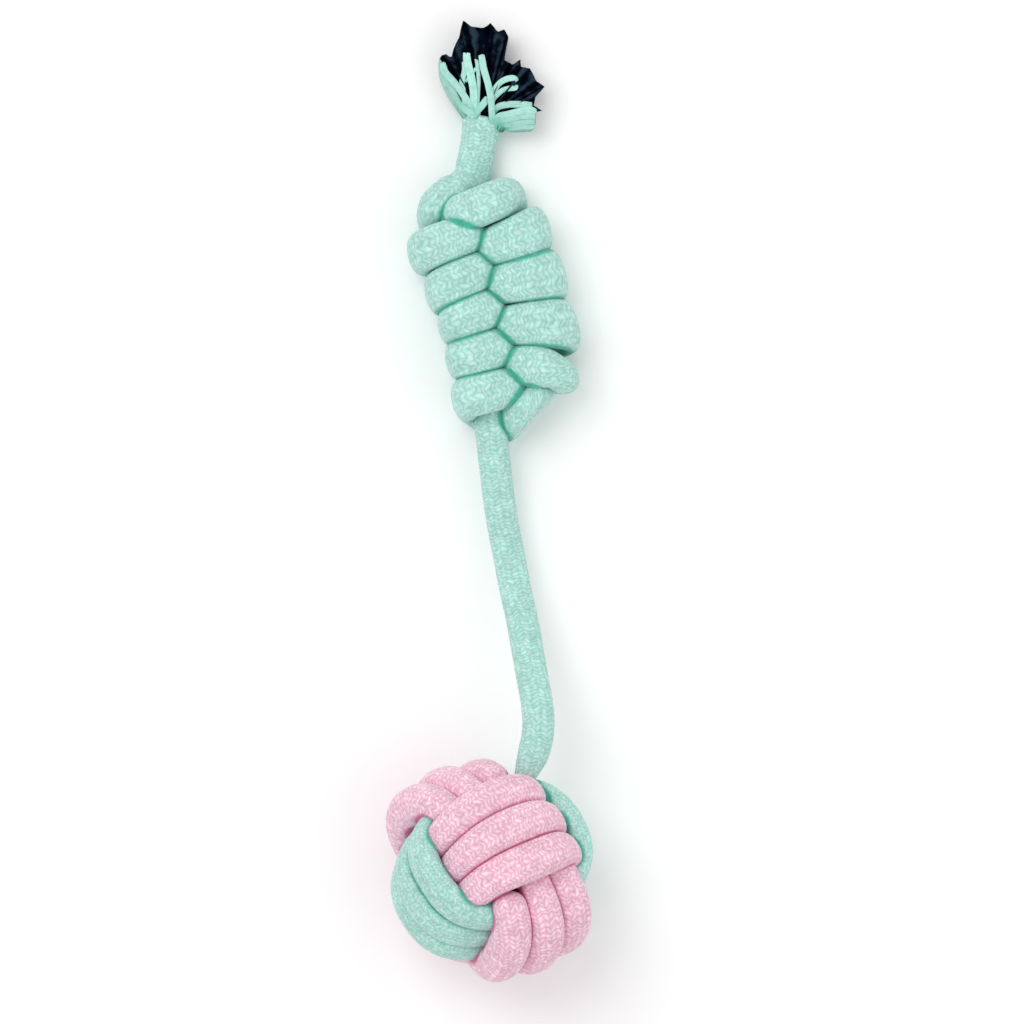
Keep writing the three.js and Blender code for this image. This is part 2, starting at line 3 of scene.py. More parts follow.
import bpy
import numpy as np
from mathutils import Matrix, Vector


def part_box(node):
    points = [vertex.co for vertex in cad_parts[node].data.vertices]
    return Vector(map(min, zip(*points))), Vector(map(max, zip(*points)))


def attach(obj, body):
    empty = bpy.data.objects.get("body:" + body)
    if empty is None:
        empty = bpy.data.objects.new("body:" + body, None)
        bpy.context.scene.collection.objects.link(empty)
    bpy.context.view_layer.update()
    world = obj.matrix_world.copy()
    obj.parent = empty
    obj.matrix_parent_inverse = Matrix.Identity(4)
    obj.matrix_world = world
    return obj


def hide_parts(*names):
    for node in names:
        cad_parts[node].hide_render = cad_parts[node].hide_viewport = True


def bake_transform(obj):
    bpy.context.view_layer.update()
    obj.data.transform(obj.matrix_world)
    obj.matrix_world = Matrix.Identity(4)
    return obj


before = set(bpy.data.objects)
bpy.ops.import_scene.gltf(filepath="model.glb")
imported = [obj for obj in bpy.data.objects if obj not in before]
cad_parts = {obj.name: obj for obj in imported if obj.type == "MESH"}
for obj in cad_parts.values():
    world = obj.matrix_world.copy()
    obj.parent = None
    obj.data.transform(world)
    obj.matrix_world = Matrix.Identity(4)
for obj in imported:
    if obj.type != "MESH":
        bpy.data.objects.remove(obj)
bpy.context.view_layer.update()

MM = 0.001

# Rope
ROPE = 12.0
CLEARANCE = 0.3
SEAM = -0.7  # between turns that touch: below zero, because their braid is pressed together
FINE_STEP = 0.42  # between the stations along a rope
FINE_SIDES = 72  # points round a rope
LYING = 0.02  # nothing lies lower over the floor
LEAST_DOME = 0.02  # squared share of its size that is left of a rope at the tip of a domed end
CROWD_REACH = 1.4  # how much further off than its own half width another rope still lays painted shade on a turn
CROWD_SPAN = 1.5  # over which that painted shade comes in
CROWD_EVERY = 4  # stations between those at which it is measured

# Braid: slanting stitches in columns round the rope, two columns to each chevron
STITCH = 1.5  # length of a stitch along the rope
COLUMNS = {"shaft": 16, "core_legs": 16, "handle_winding": 22, "ball": 22}
SLANT = 0.7  # how far a stitch climbs across its column, in stitches
BRAID_TWIST = 0.0016  # turns of the columns round the rope for each millimetre
STITCH_RELIEF = 0.3
STITCH_FALL = 0.8  # how much lower the braid lies at the two ends of a stitch, as a share of the relief
COLUMN_FALL = 0.45  # and at the two sides of its column
STITCH_MEAN = 0.65  # height of the braid that keeps the rope's own size

# Ball
BALL_OVER = 33.5  # from the ball's middle to a turn's where the turn lies on top
BALL_UNDER = 22.4  # and where it lies under another band
BALL_FACE_PITCH = 13.9  # between turns that lie on top
BALL_UNDER_PITCH = 11.4
BALL_THICK = 11.6
BALL_BULGE = 0.08  # how much further out than on an ellipse a turn lies at its corners
# What a turn's thickness gains where it lies on top, and how far a band's far end leans for its reach
BALL_GROWTH = {"ball_pink_front": 0.0, "ball_mint": -1.8, "ball_pink_end": 3.8}
END_LEAN = {"ball_pink_front": 0.0, "ball_mint": 0.0, "ball_pink_end": 0.11}
BALL_TURNS = 3
BAND_STATIONS = 900
LANE_DROP = 0.07  # share by which the two outer turns of a band lie nearer the middle
BAND_START = math.radians(55)
BAND_SHIFT = math.radians(65)  # in which a turn moves over to the next lane
BALL_PLAN = np.array([-7.6, -133.4])  # the ball's middle, seen from above
STRAND_SLOPE = math.radians(32)  # of the pink front turns, seen from above
FILLER_RADIUS = 16.2

# Knot
KNOT_PLAN = np.array([-5.6, 77.6])  # the knot's middle, seen from above
KNOT_HEIGHT = 15.77  # of its middle over the floor
KNOT_LEAN = math.radians(14)
KNOT_REACH = 28.0  # outermost place of the widest turn
KNOT_DEPTH = 12.0  # from the middle to a crossing strand's, front or back
KNOT_FLATNESS = 0.55  # power of the figure-eight's depth: the lower, the flatter its front and back
KNOT_PITCH = 14.0
KNOT_SIDE_THICK = 11.6
KNOT_LEAST_THICK = 9.4
KNOT_CROSS_THICK = 13.0
KNOT_CROSS_HIGH = 13.5
KNOT_CROSS_NARROWNESS = 12  # power of the sine: how short the stretch is in which a strand crosses
KNOT_WIDEST = 18.5
KNOT_SECTION = 148.0  # square millimetres that a flattened turn keeps: width times thickness
LEG = 11.5
LEAD = 9.8  # the strand from the right leg, where it comes out under the turns
LEG_HALF = 8.7  # half the legs' spacing
LEG_TOP = 29.0
WIND_START = math.radians(-55)
WIND_FINISH = math.radians(1785)
WIND_STATIONS = 124
# For each half turn, the height of its side and of the crossing after it in pitches, and share of the reach
WIND_ROWS = np.array([
    [-2.68, -3.14, 0.52], [-2.28, -2.21, 0.9], [-2.31, -1.63, 0.84], [-1.19, -1.11, 0.85],
    [-0.99, -0.56, 1], [-0.26, 0, 0.84], [0.41, 0.54, 1], [0.69, 1.07, 0.9], [1.7, 1.57, 0.95],
    [1.85, 2.11, 1], [2.74, 2.6, 0.77], [2.76, 3.14, 0.66], [3.64, 3.57, 0.66],
])
WIND_KNOTS = np.arange(-1, len(WIND_ROWS) - 1) * np.pi  # the angles of the side turns
# Side in halves of the legs' spacing, height in pitches and depth as a share of the knot's
LEAD_ROWS = np.array([
    [1, -1.79, 0], [1, -2, 0], [1, -2.25, 0.1], [0.93, -2.48, 0.35], [0.6, -2.66, 0.6],
    [0.08, -2.8, 0.6], [-0.5, -2.96, 0.2], [-0.95, -3.08, -0.45],
])
TAIL_ROWS = np.array([[-1.42, 3.02, 0.12], [-0.75, 3.26, 0.02]])
LAST_CROSSING = (1710.0, 130.0, -8.0)  # angle and reach in degrees, and how far over sideways it lies
LOWEST_BACK = (130.0, 75.0, 0.35)  # angle and reach in degrees, and share by which the lowest turn is slimmer

# Shaft and neck: the same points as the solids' routes, here in metres
SHAFT_ROUTE = np.array([
    [-0.0062, 0.0425, 0.016], [-0.0081, 0.0334, 0.016], [-0.0076, 0.028, 0.0158],
    [-0.0062, 0.0158, 0.0142], [-0.0049, 0.0045, 0.0126], [-0.003, -0.0068, 0.0124],
    [-0.0008, -0.018, 0.0138], [0.0013, -0.0293, 0.0168], [0.0038, -0.0405, 0.0212],
    [0.0058, -0.0518, 0.0266], [0.0076, -0.062, 0.0316], [0.0094, -0.072, 0.0358], [0.0099, -0.08, 0.0382],
])
NECK_ROUTE = np.array([
    [-0.0131, 0.1365, 0.008], [-0.0125, 0.1395, 0.0081], [-0.012, 0.1424, 0.0082],
    [-0.0115, 0.1452, 0.0084], [-0.011, 0.148, 0.0086],
])
SHAFT_SPLIT = 0.5  # share of the shaft above which it belongs to its upper half
SHAFT_MOUTH = 48.0  # from the ball's middle, where the shaft goes in between the bands
SHAFT_TUCK = 6.0  # its diameter at its hidden end
SHAFT_TUCK_RUN = 0.6  # share of the way in, in which it grows thin
NECK = 13.4  # the rope opens a little before its cut end

# Fray
MOUTH = 15.4
MOUTH_BORE = 8.6
MOUTH_DEEP = 7.0
STRAND = 39.0  # the longest radius of the core's cut edge
CLUMP_THICK = 6.4
CLUMP_ROOT = 4.4  # thickness where a clump begins
CLUMP_START = 0.8  # ahead of the mouth
CLUMP_CUT_FALL = 0.985  # how much a clump's squared thickness falls towards its cut edge
# Middle and half of each clump's fan in degrees, and length as a share of the edge's
CLUMP_ROWS = {
    "front": [
        [-34, 11, 1], [-14, 10, 1], [2, 9, 1], [15, 9, 1], [30, 10, 1], [45, 10, 1], [61, 10, 1],
    ],
    "back": [
        [-22, 9, 0.97], [-6, 9, 0.98], [9, 9, 0.97], [22, 9, 0.97], [38, 10, 0.97], [53, 10, 0.97],
        [70, 8, 0.95],
    ],
}
# The cut edge of the core: fan angle in degrees, and radius as a share of the longest
NAVY_EDGE = np.array([
    [-52.4, 0.6], [-46.8, 0.705], [-42.5, 0.74], [-38.8, 0.726], [-37.6, 0.66], [-35.4, 0.691],
    [-32.1, 0.743], [-25.7, 0.833], [-22.9, 0.924], [-21, 0.98], [-17.1, 0.908], [-9.9, 0.886],
    [-7.1, 0.912], [-5.5, 0.94], [-3, 0.903], [-0.4, 0.862], [3.4, 0.9], [7.4, 0.837], [8, 0.761],
    [9.6, 0.616], [18.6, 0.608], [21.8, 0.69], [25.7, 0.632], [32.4, 0.676], [43.7, 0.64], [51.6, 0.68],
    [56.1, 0.558], [64, 0.512], [71.3, 0.585], [73.6, 0.47], [79, 0.42],
])
RIBBON_THICK = 0.9
RIBBON_STEP = 0.45  # between the stations along a ribbon
RIBBON_YARNS = 4  # across a ribbon
RIBBON_ROOT_SHARE = 0.85  # of its width, where a ribbon comes out of the mouth
RIBBON_OPENING = 6.0  # length in which it gets its full width
RIBBON_SHADED = 9.0  # length in which the painted shade of the mouth fades
RIBBON_END = 2.5  # length in which the yarns' cut ends step apart
RIBBON_CUTS = 0.8  # by which one yarn's end may lie behind another's
RIBBON_THINNING = 1.6  # length in which the cut end thins
RIBBON_GROOVE = 0.18
RIBBON_RIPPLE = 0.1
FRAY_GROWTH = 1.015  # of the ribbons' places, ahead and aside
# The solid a ribbon stands for, or 0, its width, and its places ahead of the mouth, aside of it and above
RIBBONS = [
    (1, 3.8, [[-1.5, -6.2, 1.5], [5.4, -12.4, 3.2], [11.9, -16.6, 4.5], [17.8, -18.1, 5.5],
        [20.2, -18.1, 6.0]]),
    (2, 2.5, [[-1.5, -5.7, 3.4], [2.7, -8.6, 4.6], [8.9, -12.7, 5.5], [14.9, -17.0, 6.4],
        [16.4, -18.2, 6.6]]),
    (0, 2.4, [[-1.0, -6.1, 2.6], [3.2, -10.2, 3.9], [8.0, -13.2, 4.6], [11.4, -15.4, 5.0]]),
    (3, 2.6, [[-0.5, -3.5, 6.2], [4.8, -5.9, 7.4], [11.0, -11.7, 7.6], [15.7, -17.2, 7.4],
        [18.7, -18.4, 7.2]]),
    (4, 2.1, [[0.0, -3.9, 5.6], [5.5, -7.6, 6.3], [9.9, -9.1, 6.9], [12.4, -9.9, 7.4],
        [17.4, -9.8, 8.2], [20.7, -10.6, 8.6]]),
    (5, 3.0, [[-1.0, -2.2, 6.4], [3.6, -3.9, 7.0], [9.5, -5.0, 8.0], [14.9, -6.9, 8.8],
        [20.9, -9.5, 9.4], [23.8, -10.2, 9.5]]),
    (6, 1.5, [[-1.0, -1.0, 6.4], [6.8, -3.0, 7.2], [14.3, -4.0, 8.2], [19.0, -5.2, 9.0],
        [22.2, -6.3, 9.3]]),
    (0, 1.3, [[13.0, -8.6, 8.0], [14.5, -7.9, 8.3], [16.8, -6.7, 8.6], [19.8, -4.9, 9.0]]),
    (7, 2.6, [[-1.5, 4.2, 5.4], [1.8, 3.3, 7.8], [7.7, 1.9, 9.0], [13.4, -0.2, 9.6], [18.7, -2.8, 10.0],
        [24.0, -4.7, 10.0]]),
    (0, 2.7, [[5.0, -10.2, 4.4], [2.7, -6.8, 7.0], [0.8, -2.8, 7.8]]),
    (0, 2.7, [[0.4, -3.6, 7.4], [3.2, -2.3, 8.0], [5.7, -0.9, 8.3], [9.2, 0.8, 8.2]]),
    (8, 2.3, [[-1.0, 4.6, 5.0], [4.5, 2.4, 6.6], [9.5, 1.7, 7.5], [12.4, 2.6, 7.8], [15.3, 4.4, 8.3],
        [17.0, 7.0, 8.8], [17.3, 9.0, 8.8], [16.2, 10.0, 8.2]]),
    (9, 2.1, [[-1.0, 5.0, 4.6], [4.5, 3.0, 6.4], [8.4, 2.6, 7.1], [10.4, 3.8, 7.4], [12.3, 5.6, 7.9],
        [13.4, 7.9, 8.2], [14.0, 9.9, 8.0], [15.2, 9.8, 7.4]]),
    (10, 2.6, [[-1.0, 4.8, 4.9], [3.6, 3.8, 6.4], [5.8, 4.8, 6.9], [7.3, 8.0, 7.2], [8.1, 12.0, 7.4],
        [8.7, 17.6, 7.2]]),
    (11, 2.6, [[-1.5, 5.0, 4.9], [2.0, 5.2, 6.8], [4.0, 9.3, 7.4], [6.0, 13.9, 7.6], [6.9, 17.2, 7.4],
        [6.0, 19.3, 6.8]]),
    (12, 3.6, [[-1.5, 5.4, 4.6], [0.9, 6.0, 6.5], [2.9, 10.0, 7.0], [4.7, 14.4, 7.1],
        [5.3, 19.3, 6.6]]),
    (0, 4.4, [[-1.8, 5.9, 3.8], [0.0, 6.9, 5.6], [1.3, 10.6, 6.2], [3.1, 15.0, 6.4], [3.7, 19.6, 6.1]]),
    (13, 4.6, [[-2.0, 6.3, 2.8], [-0.9, 7.7, 4.6], [0.2, 11.2, 5.4], [1.5, 15.6, 5.7],
        [2.1, 19.5, 5.6]]),
    (0, 4.0, [[-1.9, 6.5, 1.6], [-1.4, 8.4, 3.4], [-0.4, 11.9, 4.4], [0.8, 15.9, 4.8],
        [1.2, 19.1, 4.8]]),
    (0, 3.6, [[-2.0, 6.6, 0.4], [-1.7, 9.0, 2.2], [-0.8, 12.4, 3.2], [0.1, 16.2, 3.8],
        [0.4, 18.5, 4.0]]),
    (14, 2.5, [[-1.5, 3.9, -5.0], [1.0, 5.1, -5.1], [4.1, 8.6, -5.4], [7.0, 13.2, -5.8],
        [8.9, 16.8, -6.1]]),
    (15, 2.5, [[-1.5, 1.3, -6.3], [2.7, 1.9, -6.3], [8.1, 3.7, -6.4], [13.5, 6.2, -6.6],
        [17.2, 8.0, -6.7]]),
    (16, 2.5, [[-1.5, -1.8, -6.2], [3.0, -2.0, -6.2], [9.1, -2.6, -6.4], [15.2, -3.5, -6.6],
        [19.3, -4.1, -6.7]]),
    (17, 2.5, [[-1.5, -4.4, -4.6], [2.3, -5.0, -4.7], [7.3, -6.7, -5.1], [12.3, -8.9, -5.7],
        [15.8, -10.6, -6.1]]),
    (18, 2.5, [[-1.5, -6.2, -1.5], [1.6, -6.9, -1.3], [5.7, -9.1, -0.5], [9.7, -12.1, 0.5],
        [12.5, -14.3, 1.3]]),
]

# Finishes: noises in features to a metre
SHAKE_NOISE = 420.0
SHAKE_REACH = (0.9, 0.7, 0.0)  # how far it moves the stitches along and across, in stitches and columns
FUZZ_NOISE = 3500.0
WEAR_NOISE = 40.0
FIBRE_TONE = 0.24  # how far the fibres change the tone
WEAR_TONE = 0.14
PAINTED_SHADE_SHARE = 0.9  # of the deep colour, painted shade where rope is pressed against rope
BUMP_DEPTH = 0.0004

# Light: name, place in metres, size in metres, watts
LIGHTS = [("key", (-0.5, 0.5, 1.4), 0.9, 8.0), ("fill", (0.9, -0.4, 1.1), 1.0, 2.0)]
WORLD_LIGHT = 0.78

UP = np.array([0.0, 0.0, 1.0])


def unit(v):
    """A vector, or each row of an array of them, at length one."""
    v = np.asarray(v, float)
    return v / np.linalg.norm(v, axis=-1, keepdims=True)


def smooth(t):
    """Zero below 0, one above 1, and 3t squared less 2t cubed between."""
    t = np.clip(t, 0.0, 1.0)
    return t * t * (3 - 2 * t)


BALL_FRONT = unit([0.26, 0.5, 0.826])
STRAND_PLAN = np.array([math.cos(STRAND_SLOPE), math.sin(STRAND_SLOPE), 0.0])
BALL_RIGHT = unit(STRAND_PLAN - (STRAND_PLAN @ BALL_FRONT) * BALL_FRONT)
BALL_TOP = np.cross(BALL_FRONT, BALL_RIGHT)
BALL_CENTRE = np.array([sum(pair) / 2 for pair in zip(*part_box("ball_filler"))]) / MM
SHIFT = np.array([*(BALL_CENTRE[:2] - BALL_PLAN), 0.0])  # from the routes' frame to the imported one
KNOT_CENTRE = np.array([*KNOT_PLAN, KNOT_HEIGHT]) + SHIFT
KNOT_AXIS = np.array([-math.sin(KNOT_LEAN), math.cos(KNOT_LEAN), 0.0])
KNOT_SIDE = np.array([math.cos(KNOT_LEAN), math.sin(KNOT_LEAN), 0.0])
MOUTH_PLACE = NECK_ROUTE[-1] / MM + SHIFT
MOUTH_WAY = unit(NECK_ROUTE[-1] - NECK_ROUTE[-2])
NECK_OUT = unit(UP - (UP @ MOUTH_WAY) * MOUTH_WAY)
FAN_RIGHT = np.cross(MOUTH_WAY, NECK_OUT)


# Camera and light
def set_camera():
    """A long lens straight above the toy. Its height over the level at which a pixel has its size is the
    picture's width in millimetres, times the lens over the sensor."""
    pixel_size, pixels, lens, sensor, level = 0.375, 1024, 300.0, 36.0, 28.0
    data = bpy.data.cameras.new("camera")
    data.lens, data.sensor_width = lens, sensor
    data.clip_start, data.clip_end = 0.05, 30.0
    camera = bpy.data.objects.new("camera", data)
    height = pixel_size * pixels * lens / sensor + level
    camera.location = (SHIFT[0] * MM, SHIFT[1] * MM, height * MM)
    bpy.context.scene.collection.objects.link(camera)
    bpy.context.scene.camera = camera


# Paths and tubes
def lengths(points):
    """Length along a polyline at each of its points."""
    return np.concatenate([[0.0], np.cumsum(np.linalg.norm(np.diff(points, axis=0), axis=1))])


def others(lines, name):
    """Points of the other ropes' lines, a coarse step apart."""
    coarse_step = 2.0
    return np.vstack([resample(line[0], coarse_step)[1] for other, line in lines.items() if other != name])


def resample(points, step, *along):
    """Stations evenly spaced along a polyline, and what goes with each of its points at the same stations."""
    run = lengths(points)
    count = max(6, int(round(run[-1] / step)))
    u = np.linspace(0.0, run[-1], count + 1)

    def pick(values):
        values = np.asarray(values, float)
        if values.ndim == 1:
            return np.interp(u, run, values)
        return np.stack([np.interp(u, run, values[:, k]) for k in range(values.shape[1])], axis=1)

    return u, pick(points), [pick(values) for values in along]


def catmull(points, per_span=24):
    """A centripetal Catmull-Rom curve through the points: its knots are the running sum of the chords' square
    roots, and each span is three rounds of straight mixing between neighbours."""
    p = np.asarray(points, float)
    p = np.vstack([2 * p[0] - p[1], p, 2 * p[-1] - p[-2]])
    out = []
    for i in range(1, len(p) - 2):
        p0, p1, p2, p3 = p[i - 1 : i + 3]
        t1 = math.sqrt(np.linalg.norm(p1 - p0))
        t2 = t1 + math.sqrt(np.linalg.norm(p2 - p1))
        t3 = t2 + math.sqrt(np.linalg.norm(p3 - p2))
        t = np.linspace(t1, t2, per_span, endpoint=i == len(p) - 3)[:, None]
        a1 = (t1 - t) / t1 * p0 + t / t1 * p1
        a2 = (t2 - t) / (t2 - t1) * p1 + (t - t1) / (t2 - t1) * p2
        a3 = (t3 - t) / (t3 - t2) * p2 + (t - t2) / (t3 - t2) * p3
        b1 = (t2 - t) / t2 * a1 + t / t2 * a2
        b2 = (t3 - t) / (t3 - t1) * a2 + (t - t1) / (t3 - t1) * a3
        out.append((t2 - t) / (t2 - t1) * b1 + (t - t1) / (t2 - t1) * b2)
    return np.vstack(out)


def frames(points, outward):
    """Tangents along a path, the outward directions squared to them, and the directions across."""
    tangent = unit(np.gradient(points, axis=0))
    outward = unit(outward - np.sum(outward * tangent, axis=1, keepdims=True) * tangent)
    return tangent, outward, np.cross(tangent, outward)


def grid_mesh(name, rings, uv, values):
    """A closed tube from rings of points: quads between neighbouring rings, and straight strips across each
    end ring between the points as far before its first point as after it, so that an uneven end keeps its
    outline. The rings are stations by sides by 3 in millimetres, uv is stations by sides and one by 2, and
    values holds named fields of stations by sides."""
    stations, sides = rings.shape[:2]
    i, k = np.meshgrid(np.arange(stations - 1), np.arange(sides), indexing="ij")
    i, k = i.ravel(), k.ravel()
    k2 = (k + 1) % sides
    quads = np.stack([i * sides + k, i * sides + k2, (i + 1) * sides + k2, (i + 1) * sides + k], axis=1)
    half = sides // 2
    row = np.arange(1, half - 1)
    strip = np.stack([row, row + 1, sides - row - 1, sides - row], axis=1)
    tips = np.array([[0, 1, sides - 1], [half - 1, half, half + 1]])
    first = [strip[:, ::-1].ravel(), tips[:, ::-1].ravel()]
    final = [strip.ravel(), tips.ravel()]
    last = (stations - 1) * sides
    loops = np.concatenate([quads.ravel(), first[0], last + final[0], first[1], last + final[1]])
    sizes = np.concatenate([np.full(len(quads) + 2 * len(strip), 4), np.full(2 * len(tips), 3)])
    mesh = bpy.data.meshes.new(name)
    mesh.vertices.add(rings.size // 3)
    mesh.vertices.foreach_set("co", (rings * MM).ravel())
    mesh.loops.add(len(loops))
    mesh.loops.foreach_set("vertex_index", loops)
    mesh.polygons.add(len(sizes))
    mesh.polygons.foreach_set("loop_start", np.concatenate([[0], np.cumsum(sizes)[:-1]]))
    mesh.update(calc_edges=True)
    mesh.polygons.foreach_set("use_smooth", np.ones(len(sizes), bool))
    quad_uv = np.stack([uv[i, k], uv[i, k + 1], uv[i + 1, k + 1], uv[i + 1, k]], axis=1)
    caps = [uv[0][first[0]], uv[-1][final[0]], uv[0][first[1]], uv[-1][final[1]]]
    flat = np.concatenate([quad_uv.reshape(-1, 2), *caps])
    mesh.uv_layers.new(name="yarn").data.foreach_set("uv", flat.astype(np.float32).ravel())
    for key, field in values.items():
        attribute = mesh.attributes.new(key, "FLOAT", "POINT")
        attribute.data.foreach_set("value", field.astype(np.float32).ravel())
    mesh.validate()
    return mesh


def piece(name, mesh, material):
    """An object of the scene with its finish, standing at the origin."""
    obj = bpy.data.objects.new(name, mesh)
    bpy.context.scene.collection.objects.link(obj)
    mesh.materials.append(material)
    return obj


def braid(u, v, columns, seed):
    """Height of the braid at length u and turn share v, and its yarn coordinates: stitches along the rope
    before they slant, and columns round it. A stitch climbs through one column and falls through the next, so
    that two columns make a chevron. The height is one less the stitch's fall times the squared distance from
    its middle, times one less the column's fall times the squared distance from the column's. Long waves let
    the columns drift, and shorter ones push the stitches along."""
    round_it = 2 * np.pi * v
    drift = 0.16 * np.sin(0.23 * u + 2.6 * np.sin(round_it) + seed) + 0.12 * np.sin(0.61 * u - 2 * round_it)
    push = 0.18 * np.sin(0.9 * u + 3 * round_it) + 0.12 * np.sin(1.7 * u - 5 * round_it + seed)
    column = (v + BRAID_TWIST * u) * columns + drift
    along = u / STITCH + drift + push
    climb = 1 - np.abs(column % 2 - 1)
    within = 2 * ((along + SLANT * climb) % 1) - 1
    across = 2 * (column % 1) - 1
    height = (1 - STITCH_FALL * within**2) * (1 - COLUMN_FALL * across**2)
    return height, along, column


def contact_shade_mask(rings, u, own, wide, beside):
    """Mask of painted shade between ropes: how closely each point of a rope's surface is pressed by rope
    beside it, the half width there and the reach, less the distance to the nearest other centre line, over
    the span, smoothed. The rope's own line counts from two diameters along it. It is worked out at some
    stations and interpolated between them."""
    coarse = np.arange(0, len(u), CROWD_EVERY)
    spots = rings[coarse].reshape(-1, 3)

    def distances(line):
        squares = (spots**2).sum(1)[:, None] + (line**2).sum(1) - 2 * spots @ line.T
        return np.sqrt(np.maximum(squares, 0)).reshape(len(coarse), -1, len(line))

    apart = np.abs(u[coarse][:, None] - u[coarse]) > 2 * ROPE
    itself = np.where(apart[:, None], distances(own[coarse]), np.inf).min(2)
    nearest = np.minimum(distances(beside).min(2), itself)
    at = np.arange(len(u)) / CROWD_EVERY
    low = np.minimum(at.astype(int), len(coarse) - 2)
    share = np.minimum(at - low, 1)[:, None]
    nearest = nearest[low] * (1 - share) + nearest[low + 1] * share
    return smooth((wide[:, None] + CROWD_REACH - nearest) / CROWD_SPAN)


def rope(
    line, beside, columns, seed, step=FINE_STEP, sides=FINE_SIDES, squareness=2.5, domes=(True, True)
):
    """A braided rope along a line of points, outward directions and half sizes outwards and across. Its
    section is a superellipse: the half sizes times the cosine and the sine, each to the power of two over
    the squareness, at points evenly spaced round it, moved outwards by the braid's relief. A domed end
    draws in as a circle does, over half a diameter. Gives the rings, the yarn coordinates, the fields for
    the finish, which hold the mask of painted shade where other rope lies close, and the length at each
    station."""
    points, outward, thick, wide = line
    u, centre, (outward, thick, wide) = resample(points, step, outward, thick, wide)
    _, outward, across = frames(centre, outward)
    dome = np.ones_like(u)
    for domed, distance in zip(domes, (u, u[-1] - u)):
        if domed:
            dome *= np.sqrt(np.clip(1 - (1 - np.clip(distance / (ROPE / 2), 0, 1)) ** 2, LEAST_DOME, 1))
    turn = np.linspace(0.0, 1.0, sides + 1)
    fine_sides = 1440
    fine = np.linspace(0, 2 * np.pi, fine_sides + 1)
    shape = np.sign(np.cos(fine)) * np.abs(np.cos(fine)) ** (2 / squareness)
    shape = np.stack([shape, np.sign(np.sin(fine)) * np.abs(np.sin(fine)) ** (2 / squareness)], axis=1)
    girth = lengths(shape)
    x, y = (np.interp(turn[:-1] * girth[-1], girth, shape[:, k])[None, :] for k in (0, 1))
    a, b = (thick * dome)[:, None], (wide * dome)[:, None]
    height, along, column = braid(u[:, None] + 0 * turn, turn + 0 * u[:, None], columns, seed)
    relief = (height[:, :-1] - STITCH_MEAN) * STITCH_RELIEF * dome[:, None]
    nx, ny = x / a, y / b
    norm = np.sqrt(nx * nx + ny * ny)
    px = a * x + relief * nx / norm
    py = b * y + relief * ny / norm
    rings = centre[:, None] + px[..., None] * outward[:, None] + py[..., None] * across[:, None]
    rings[..., 2] = np.maximum(rings[..., 2], LYING)
    # painted shade: a mask of how closely other rope lies beside each point
    pressed = contact_shade_mask(rings, u, centre, wide, beside)
    return rings, np.stack([along, column], axis=2), {"pressed": pressed}, u


def rope_mesh(name, made, first=0, last=None):
    """The stations of a made rope from first to last as a closed tube."""
    rings, uv, values, _ = made
    cut = slice(first, last)
    return grid_mesh(name, rings[cut], uv[cut], {key: field[cut] for key, field in values.items()})


# Ball
def band_lane(angle):
    """The lane in which a band's turn lies: 1, 0 or -1, with a smooth move from one to the next."""
    lane = np.ones_like(angle)
    for k in range(1, BALL_TURNS):
        lane = lane - smooth((BAND_START - angle - 2 * np.pi * k + BAND_SHIFT) / BAND_SHIFT)
    return lane


def band_line(name, long, short, stack):
    """A band's turns on an ellipse: long radius times the cosine along one axis, short radius times the sine
    along the next, and lane times pitch along the third, with the corners swollen by the squared sine of the
    double angle. A turn's thickness gains the band's growth times the squared cosine, half of it outwards. At
    the far end, weighted by the mean of one and the cosine, the band leans back along the third axis by a
    share of its reach. Its width is the pitch, made smaller by the turn's own slope."""
    finish = BAND_START - 2 * np.pi * BALL_TURNS + BAND_SHIFT
    angle = np.linspace(BAND_START, finish, BAND_STATIONS)
    lane = band_lane(angle)
    c, s = np.cos(angle), np.sin(angle)
    pitch = BALL_UNDER_PITCH + (BALL_FACE_PITCH - BALL_UNDER_PITCH) * c * c
    grown = BALL_GROWTH[name]
    over = (BALL_OVER + grown / 2) * (1 - LANE_DROP * lane * lane)
    corner = 1 + BALL_BULGE * np.sin(2 * angle) ** 2
    points = BALL_CENTRE + (over * c * corner)[:, None] * long + (BALL_UNDER * s * corner)[:, None] * short
    points = points + (pitch * lane - END_LEAN[name] * over * c * (1 + c) / 2)[:, None] * stack
    tangent = unit(np.gradient(points, axis=0))
    outward = (c / BALL_OVER)[:, None] * long + (s / BALL_UNDER)[:, None] * short
    lean = np.abs(tangent @ stack)
    wide = (pitch * np.sqrt(1 - lean * lean) - SEAM) / 2
    return points, outward, (BALL_THICK + grown * c * c) / 2, wide


def build_ball(lines, mint, pink, filler):
    """The three bands, and the filler's finish."""
    finishes = {"pink": (pink, "pink_cotton"), "mint": (mint, "mint_cotton")}
    for seed, name in enumerate(("ball_pink_front", "ball_mint", "ball_pink_end"), 3):
        material, slot = finishes[name.split("_")[1]]
        made = rope(lines[name], others(lines, name), COLUMNS["ball"], seed)
        obj = piece(f"{name}_rope", rope_mesh(name, made), material)
        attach(obj, "ball")
        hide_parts(f"{name}_turns")
    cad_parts["ball_filler"].material_slots[0].material = filler


# Knot
def spline(knots, values, at):
    """A cubic Hermite curve through the values, with the slope at each knot taken from its neighbours."""
    slope = np.gradient(values, knots)
    i = np.clip(np.searchsorted(knots, at, side="right") - 1, 0, len(knots) - 2)
    h = knots[i + 1] - knots[i]
    t = (at - knots[i]) / h
    rise = 3 * t**2 - 2 * t**3
    bend = (t**3 - 2 * t**2 + t) * slope[i] + (t**3 - t**2) * slope[i + 1]
    return (1 - rise) * values[i] + rise * values[i + 1] + h * bend


